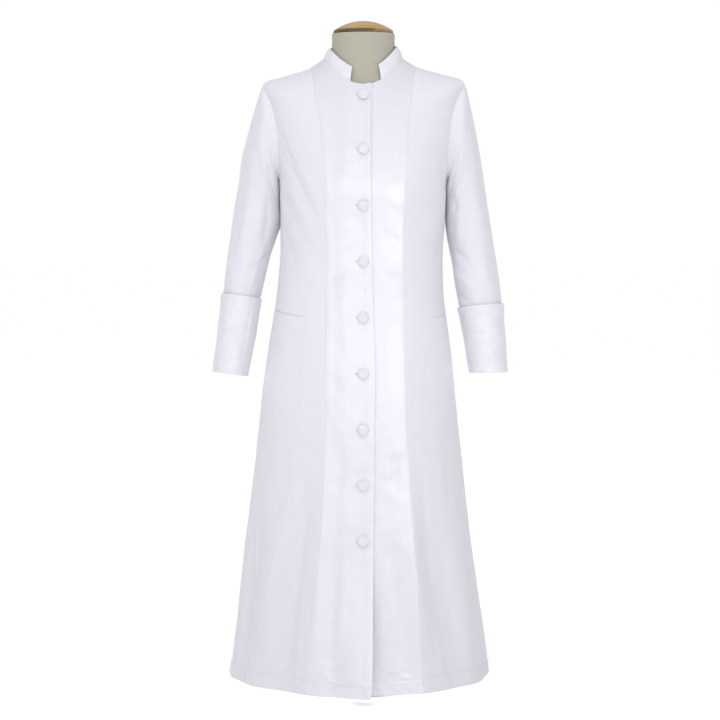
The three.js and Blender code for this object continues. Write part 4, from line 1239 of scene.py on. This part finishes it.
class ROBE_OT_collar(bpy.types.Operator):
    """Builds the satin stand collar, open at the throat"""

    bl_idname = "robe.collar"
    bl_label = "Stand Collar"

    def execute(self, context):
        first = one_angle(THROAT["left"], NECKLINE)
        last = 360 + one_angle(THROAT["right"], NECKLINE)
        columns = np.linspace(first, last, COLUMNS["collar"] + 1)
        angle, share = np.meshgrid(columns, np.linspace(COLLAR["foot"], 1, COLLAR["rows"]))
        ways = normal_of(collar_point, angle, share) * (1, 1, 0)
        arc, top = COLLAR["arc"], COLLAR["tall"]
        tall = share * top
        soft = ripples(angle * arc, tall, "collar")
        out = COLLAR["ripple"] * soft * smooth(0, 10, tall) * smooth(top, top - 5, tall)
        # A line of stitches runs inside the finished edges
        edge = np.minimum(np.minimum(top - tall, (angle - first) * arc), (last - angle) * arc)
        (stitch, stitch_reach), (rim, rim_reach) = COLLAR["stitch"], COLLAR["rim"]
        sewn = stitch * bell(edge - COLLAR["stitches"], stitch_reach)
        out -= sewn + rim * bell(edge, rim_reach)
        points = collar_point(angle, share) + unit(ways) * out[..., None]
        cloth_piece("collar", points, "Soft satin", STIFF_WALL)
        return {"FINISHED"}


def button_places():
    """Equal steps along the upper front, down its middle: places, ways out and levels."""
    t = np.arange(NECKLINE, 1, -0.005)
    angle = angle_at(0 * t, t)
    points, normals = body_point(angle, t), body_normal(angle, t)
    points = points + normals * upper_front_lift(0 * t, points[:, 2])[:, None]
    walked = np.concatenate([[0], np.cumsum(np.linalg.norm(np.diff(points, axis=0), axis=1))])
    wanted = BUTTON["from_neck"] + BUTTON["spacing"] * np.arange(BUTTON["count"])
    found = np.searchsorted(walked, wanted)
    return points[found], normals[found], t[found]


def turned_piece(name, profile, sides, outward):
    """A closed round piece from a profile of radii and heights, whose ends lie on the axis."""
    turn = np.linspace(0, 2 * math.pi, sides + 1)
    r, z = np.array(profile, float).T
    r, z = r[:, None], z[:, None]
    points = np.stack([r * np.cos(turn), r * np.sin(turn), z + 0 * turn], -1)
    points[:, -1] = points[:, 0]
    return grid_piece(name, points, outward, True)


def curve_through(points, steps):
    """A smooth line through a profile's points, with this many steps a span."""
    points = np.array(points, float)
    t = np.linspace(0, len(points) - 1, (len(points) - 1) * steps + 1)
    return np.stack([through(points[:, axis], t) for axis in range(points.shape[1])], -1)


def new_object(name, data):
    obj = bpy.data.objects.new(name, data)
    bpy.context.scene.collection.objects.link(obj)
    return obj


class ROBE_OT_buttons(bpy.types.Operator):
    """Builds the covered buttons and the stitched buttonholes under them"""

    bl_idname = "robe.buttons"
    bl_label = "Covered Buttons"

    def execute(self, context):
        profile = curve_through(np.array(BUTTON_SHAPE) * (BUTTON["radius"], BUTTON["height"]), 3)
        profile[0, 0] = profile[-1, 0] = 0
        profile[:, 0] = np.maximum(profile[:, 0], 0)
        outward = away_from(0, 0, BUTTON["height"] * MM / 2)
        base = turned_piece("button_first", profile, SIDES["button"], outward)
        points, normals, levels = button_places()
        for i, (point, normal) in enumerate(zip(points, normals), 1):
            piece = new_object(f"button_{i}_covered", base.data.copy())
            piece.data.name = piece.name
            turn = Vector((0, 0, 1)).rotation_difference(Vector(normal)).to_matrix().to_4x4()
            turn.translation = Vector((point + normal * BUTTON["lift"]) * MM)
            piece.data.transform(turn)
            finish_piece(piece, "Covered button", [f"button_{i}"])
        bpy.data.objects.remove(base)
        for i, t in enumerate(levels, 1):
            self.hole(f"buttonhole_{i}", t)
        return {"FINISHED"}

    def hole(self, name, t):
        """A stitched loop under a button, whose end shows at the wearer's right."""
        path = np.linspace(0, 2 * math.pi, 97)
        x = HOLE["middle"] + HOLE["half"] * np.sign(np.cos(path)) * np.abs(np.cos(path)) ** 0.6
        levels = t + HOLE["tall"] * np.sin(path) / 60
        angle = angle_at(x, levels)
        normal = body_normal(angle, levels)
        middle = body_point(angle, levels)
        x, _, z = middle.T
        lifted = upper_front_lift(x, z) + body_cloth(angle, z, True)
        middle = middle + normal * (lifted + HOLE["lift"])[:, None]
        flat = unit(np.stack([np.cos(path), 0 * path, np.sin(path)], -1))
        flat = unit(flat - normal * (flat * normal).sum(-1, keepdims=True))
        thick = HOLE["thread"] + HOLE["twist"] * np.sin(path * HOLE["twists"])
        ring = np.linspace(0, 2 * math.pi, 9)[None, :, None]
        around = flat[:, None] * np.cos(ring) + normal[:, None] * np.sin(ring)
        points = middle[:, None] + thick[:, None, None] * around
        points[-1], points[:, -1] = points[0], points[:, 0]
        finish_piece(grid_piece(name, points, nearest_outward(middle), True), "Sewing thread")


class ROBE_OT_hem_stitches(bpy.types.Operator):
    """Sews the turned-up hem with a row of small stitches all round"""

    bl_idname = "robe.hem_stitches"
    bl_label = "Hem Stitches"

    def execute(self, context):
        row = float(np.interp(HEM["foot"] + HEM["deep"], LEVELS[:, 0], range(len(LEVELS))))
        spans = [
            (one_angle(-115, row), one_angle(12, row), upper_front_lift, True),
            (one_angle(20, row), one_angle(118, row), lower_front_lift, True),
            (-80, one_angle(-118, row), upper_front_lift, False),
            (one_angle(121, row), 85, None, False),
            (87, 279, None, False),
        ]
        vertices, polygons = [], []
        for start, end, lift, satin in spans:
            angle = np.arange(start, end, STITCH_STEP)
            points = body_point(angle, row + 0 * angle)
            normals = body_normal(angle, row + 0 * angle)
            out = body_cloth(angle, points[..., 2], satin)
            if lift:
                out = out + lift(points[..., 0], points[..., 2])
            points = points + normals * (out + STITCH_LIFT)[:, None]
            ways = unit(np.gradient(points, axis=0))
            for point, *axes in zip(points, ways, np.cross(normals, ways), normals):
                first = len(vertices)
                vertices += [tuple(v) for v in (point + STITCH @ np.array(axes)) * MM]
                polygons += [tuple(first + i for i in face) for face in STITCH_FACES]
        mesh = bpy.data.meshes.new("hem_stitches")
        mesh.from_pydata(vertices, [], polygons)
        piece = new_object("hem_stitches", mesh)
        edit_mesh(piece, (bpy.ops.mesh.normals_make_consistent, {"inside": False}))
        finish_piece(piece, "Sewing thread")
        return {"FINISHED"}


class ROBE_OT_dress_form(bpy.types.Operator):
    """Builds the limbless dress form: a linen torso and a wooden neck cap"""

    bl_idname = "robe.dress_form"
    bl_label = "Dress Form"

    def execute(self, context):
        self.torso()
        self.cap()
        return {"FINISHED"}

    def torso(self):
        angle = np.linspace(0, 360, COLUMNS["form"] + 1)
        rings = []
        for t in np.concatenate([np.arange(*rows) for rows in FORM_ROWS]):
            here = t + 0 * angle
            drawn_in = (WALL + level("ease", here))[:, None]
            ways = normal_of(ring_point, angle, inside_levels(here))
            rings.append(ring_point(angle, here) - ways * drawn_in)
        rings[0][:, 2] = level("side", FORM_BOTTOM)
        seat = rings[-1]
        s, c = np.sin(np.radians(angle)), np.cos(np.radians(angle))
        neck = np.stack([NECK["half"] * s, -np.where(c > 0, NECK["ahead"], NECK["behind"]) * c], -1)
        share, drawn = np.array([(0, 0), *NECK_RINGS]).T
        for step in np.linspace(0.03, 1, 30):
            flat = seat[:, :2] + (neck - seat[:, :2]) * np.interp(step, share, drawn)
            up = seat[:, 2:] + (NECK["top"] - seat[:, 2:]) * step
            rings.append(np.concatenate([flat, up], -1))
        ends = [rings[i].mean(axis=0, keepdims=True) + 0 * rings[i] for i in (0, -1)]
        points = np.array([ends[0], *rings, ends[1]])
        points[:, -1] = points[:, 0]
        piece = grid_piece("form_torso_linen", points, away_from_axis, True)
        finish_piece(piece, "Natural linen", ["form_torso"])

    def cap(self):
        foot, rim = NECK["top"] + SEAM_GAP, CAP["rim"]
        # Each row is a share of the cap's size, and a height above its foot
        rows = [
            (0, 0), (0.97, 0), (0.985, 0.4), (1, 1.8), (1, rim - 2.2), (0.99, rim - 0.7),
            (CAP["dome"], rim),
        ]
        # The dome is a shallow part of a ball
        crown = CAP["tall"] - rim
        ball = (CAP["half"] ** 2 + crown ** 2) / (2 * crown)
        for size in np.cos(np.linspace(0.06, math.pi / 2, 24)):
            drop = ball - math.sqrt(ball ** 2 - (size * CAP["half"]) ** 2)
            rows.append((CAP["dome"] * size, CAP["tall"] - drop))
        turn = np.radians(np.linspace(0, 360, COLUMNS["form"] + 1))
        s, c = np.sin(turn), np.cos(turn)
        depth = np.where(c > 0, CAP["ahead"], CAP["behind"])
        points = np.array([
            np.stack([CAP["half"] * s * size, -depth * c * size, foot + z + 0 * s], -1)
            for size, z in rows
        ])
        points[:, -1] = points[:, 0]
        outward = away_from(0, 0, (foot + 6) * MM)
        piece = grid_piece("form_neck_cap_wood", points, outward, True)
        finish_piece(piece, "Varnished wood", ["form_neck_cap"])


class ROBE_OT_stand(bpy.types.Operator):
    """Builds the stand: a round steel base, its socket and the pole"""

    bl_idname = "robe.stand"
    bl_label = "Stand"

    def execute(self, context):
        radius, thick, bevel = BASE["radius"], BASE["thick"], BASE["bevel"]
        socket, tall, dome = BASE["socket"], BASE["tall"], BASE["thick"] + BASE["dome"]
        profile = [
            (0, 0), (radius - bevel, 0), (radius - 0.6, 0.6), (radius, bevel),
            (radius, thick - bevel), (radius - 0.6, thick - 0.6), (radius - bevel, thick),
            (socket * 1.6, thick + 4.6), (socket * 1.25, dome), (socket * 1.04, dome + 0.6),
            (socket, dome + 2), (socket, tall - 2.4), (socket - 0.7, tall - 0.7),
            (socket - 2.4, tall), (0, tall),
        ]
        outward = away_from(0, 0, 0.005)
        piece = turned_piece("stand_base_plate", profile, SIDES["base"], outward)
        finish_piece(piece, "Brushed steel", ["stand_base"])
        foot, head = (corner.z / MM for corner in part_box("stand_pole"))
        profile = [
            (0, foot), (POLE_RADIUS - 0.6, foot), (POLE_RADIUS, foot + 0.6),
            (POLE_RADIUS, foot + 250), (POLE_RADIUS, head - 0.6), (POLE_RADIUS - 0.6, head),
            (0, head),
        ]
        piece = turned_piece("stand_pole_tube", profile, SIDES["pole"], away_from_axis)
        finish_piece(piece, "Brushed steel", ["stand_pole"])
        return {"FINISHED"}


def turned_along(way):
    """The turn that points a light along a way."""
    return Vector(way).to_track_quat("-Z", "Y").to_euler()


def area_light(name, place, aim, width, height, power, sheen):
    """A soft light. A sheen light shows only in gloss, and the others only in what is matt."""
    data = bpy.data.lights.new(name, "AREA")
    data.energy = power
    data.shape = "RECTANGLE"
    data.size = width
    data.size_y = height
    light = new_object(name, data)
    light.visible_camera = False
    light.visible_diffuse = not sheen
    light.visible_glossy = sheen
    light.location = place
    light.rotation_euler = turned_along(Vector(aim) - Vector(place))


class ROBE_OT_stage(bpy.types.Operator):
    """Sets the camera, the pale floor and the soft studio light"""

    bl_idname = "robe.stage"
    bl_label = "Stage"

    def execute(self, context):
        scene = context.scene
        settings = scene.robe_stage
        data = bpy.data.cameras.new("Camera")
        data.sensor_width = CAMERA["sensor"]
        data.lens = CAMERA["lens"]
        camera = new_object("Camera", data)
        camera.location = (CAMERA["x"], -settings.distance, settings.height)
        camera.rotation_euler = (math.radians(90 - CAMERA["down"]), 0, 0)
        scene.camera = camera

        bpy.ops.object.select_all(action="DESELECT")
        bpy.ops.mesh.primitive_plane_add(size=FLOOR["size"], location=(0, 0, -FLOOR["sunk"]))
        floor = context.object
        floor.name = "floor"
        material, _, shader = new_material("Pale floor", settings.floor, 0.9)
        shader.inputs["Specular IOR Level"].default_value = 0.1
        shader.inputs["Emission Color"].default_value = (1, 1, 1, 1)
        shader.inputs["Emission Strength"].default_value = FLOOR["glow"]
        floor.data.materials.append(material)

        self.sky(scene, settings.sky)
        scene.view_settings.view_transform = "Standard"
        self.lights(settings)
        return {"FINISHED"}

    def sky(self, scene, strength):
        """Soft light from all round, which the camera sees as white."""
        world = bpy.data.worlds.new("Soft sky")
        scene.world = world
        world.use_nodes = True
        tree = world.node_tree
        soft = tree.nodes["Background"]
        soft.inputs["Color"].default_value = (0.97, 0.98, 1, 1)
        soft.inputs["Strength"].default_value = strength
        seen = add_node(tree, "ShaderNodeBackground", {"Color": (1, 1, 1, 1), "Strength": 1})
        rays = add_node(tree, "ShaderNodeLightPath")
        mix = add_node(tree, "ShaderNodeMixShader")
        tree.links.new(rays.outputs["Is Camera Ray"], mix.inputs["Fac"])
        tree.links.new(soft.outputs["Background"], mix.inputs[1])
        tree.links.new(seen.outputs["Background"], mix.inputs[2])
        tree.links.new(mix.outputs["Shader"], tree.nodes["World Output"].inputs["Surface"])

    def lights(self, settings):
        data = bpy.data.lights.new("High soft light", "SUN")
        data.energy = settings.high
        data.angle = math.radians(HIGH_LIGHT["angle"])
        high = new_object("High soft light", data)
        high.rotation_euler = turned_along(HIGH_LIGHT["way"])
        high.visible_glossy = False
        for name, (*shape, setting, share) in LIGHTS.items():
            area_light(name, *shape, getattr(settings, setting) * share, setting == "sheen")


OPERATORS = (
    ROBE_OT_stage, ROBE_OT_dress_form, ROBE_OT_stand, ROBE_OT_satin_fronts,
    ROBE_OT_side_fronts, ROBE_OT_back, ROBE_OT_sleeves, ROBE_OT_cuffs, ROBE_OT_collar,
    ROBE_OT_buttons, ROBE_OT_hem_stitches,
)
SETTINGS = {"robe_cloth": RobeCloth, "robe_form": RobeForm, "robe_stage": RobeStage}


class ROBE_PT_panel(bpy.types.Panel):
    """Lists the robe's settings and pieces"""

    bl_idname = "ROBE_PT_panel"
    bl_label = "Robe"
    bl_space_type = "VIEW_3D"
    bl_region_type = "UI"
    bl_category = "Robe"

    def draw(self, context):
        for name, group in SETTINGS.items():
            box = self.layout.box()
            for setting in group.__annotations__:
                box.prop(getattr(context.scene, name), setting)
        for operator in OPERATORS:
            self.layout.operator(operator.bl_idname)


def register():
    for name, group in SETTINGS.items():
        bpy.utils.register_class(group)
        setattr(bpy.types.Scene, name, PointerProperty(type=group))
    for item in (*OPERATORS, ROBE_PT_panel):
        bpy.utils.register_class(item)


def unregister():
    for item in reversed((*OPERATORS, ROBE_PT_panel)):
        bpy.utils.unregister_class(item)
    for name, group in SETTINGS.items():
        delattr(bpy.types.Scene, name)
        bpy.utils.unregister_class(group)


def main():
    register()
    for operator in OPERATORS:
        group, name = operator.bl_idname.split(".")
        getattr(getattr(bpy.ops, group), name)()


if __name__ == "__main__":
    main()
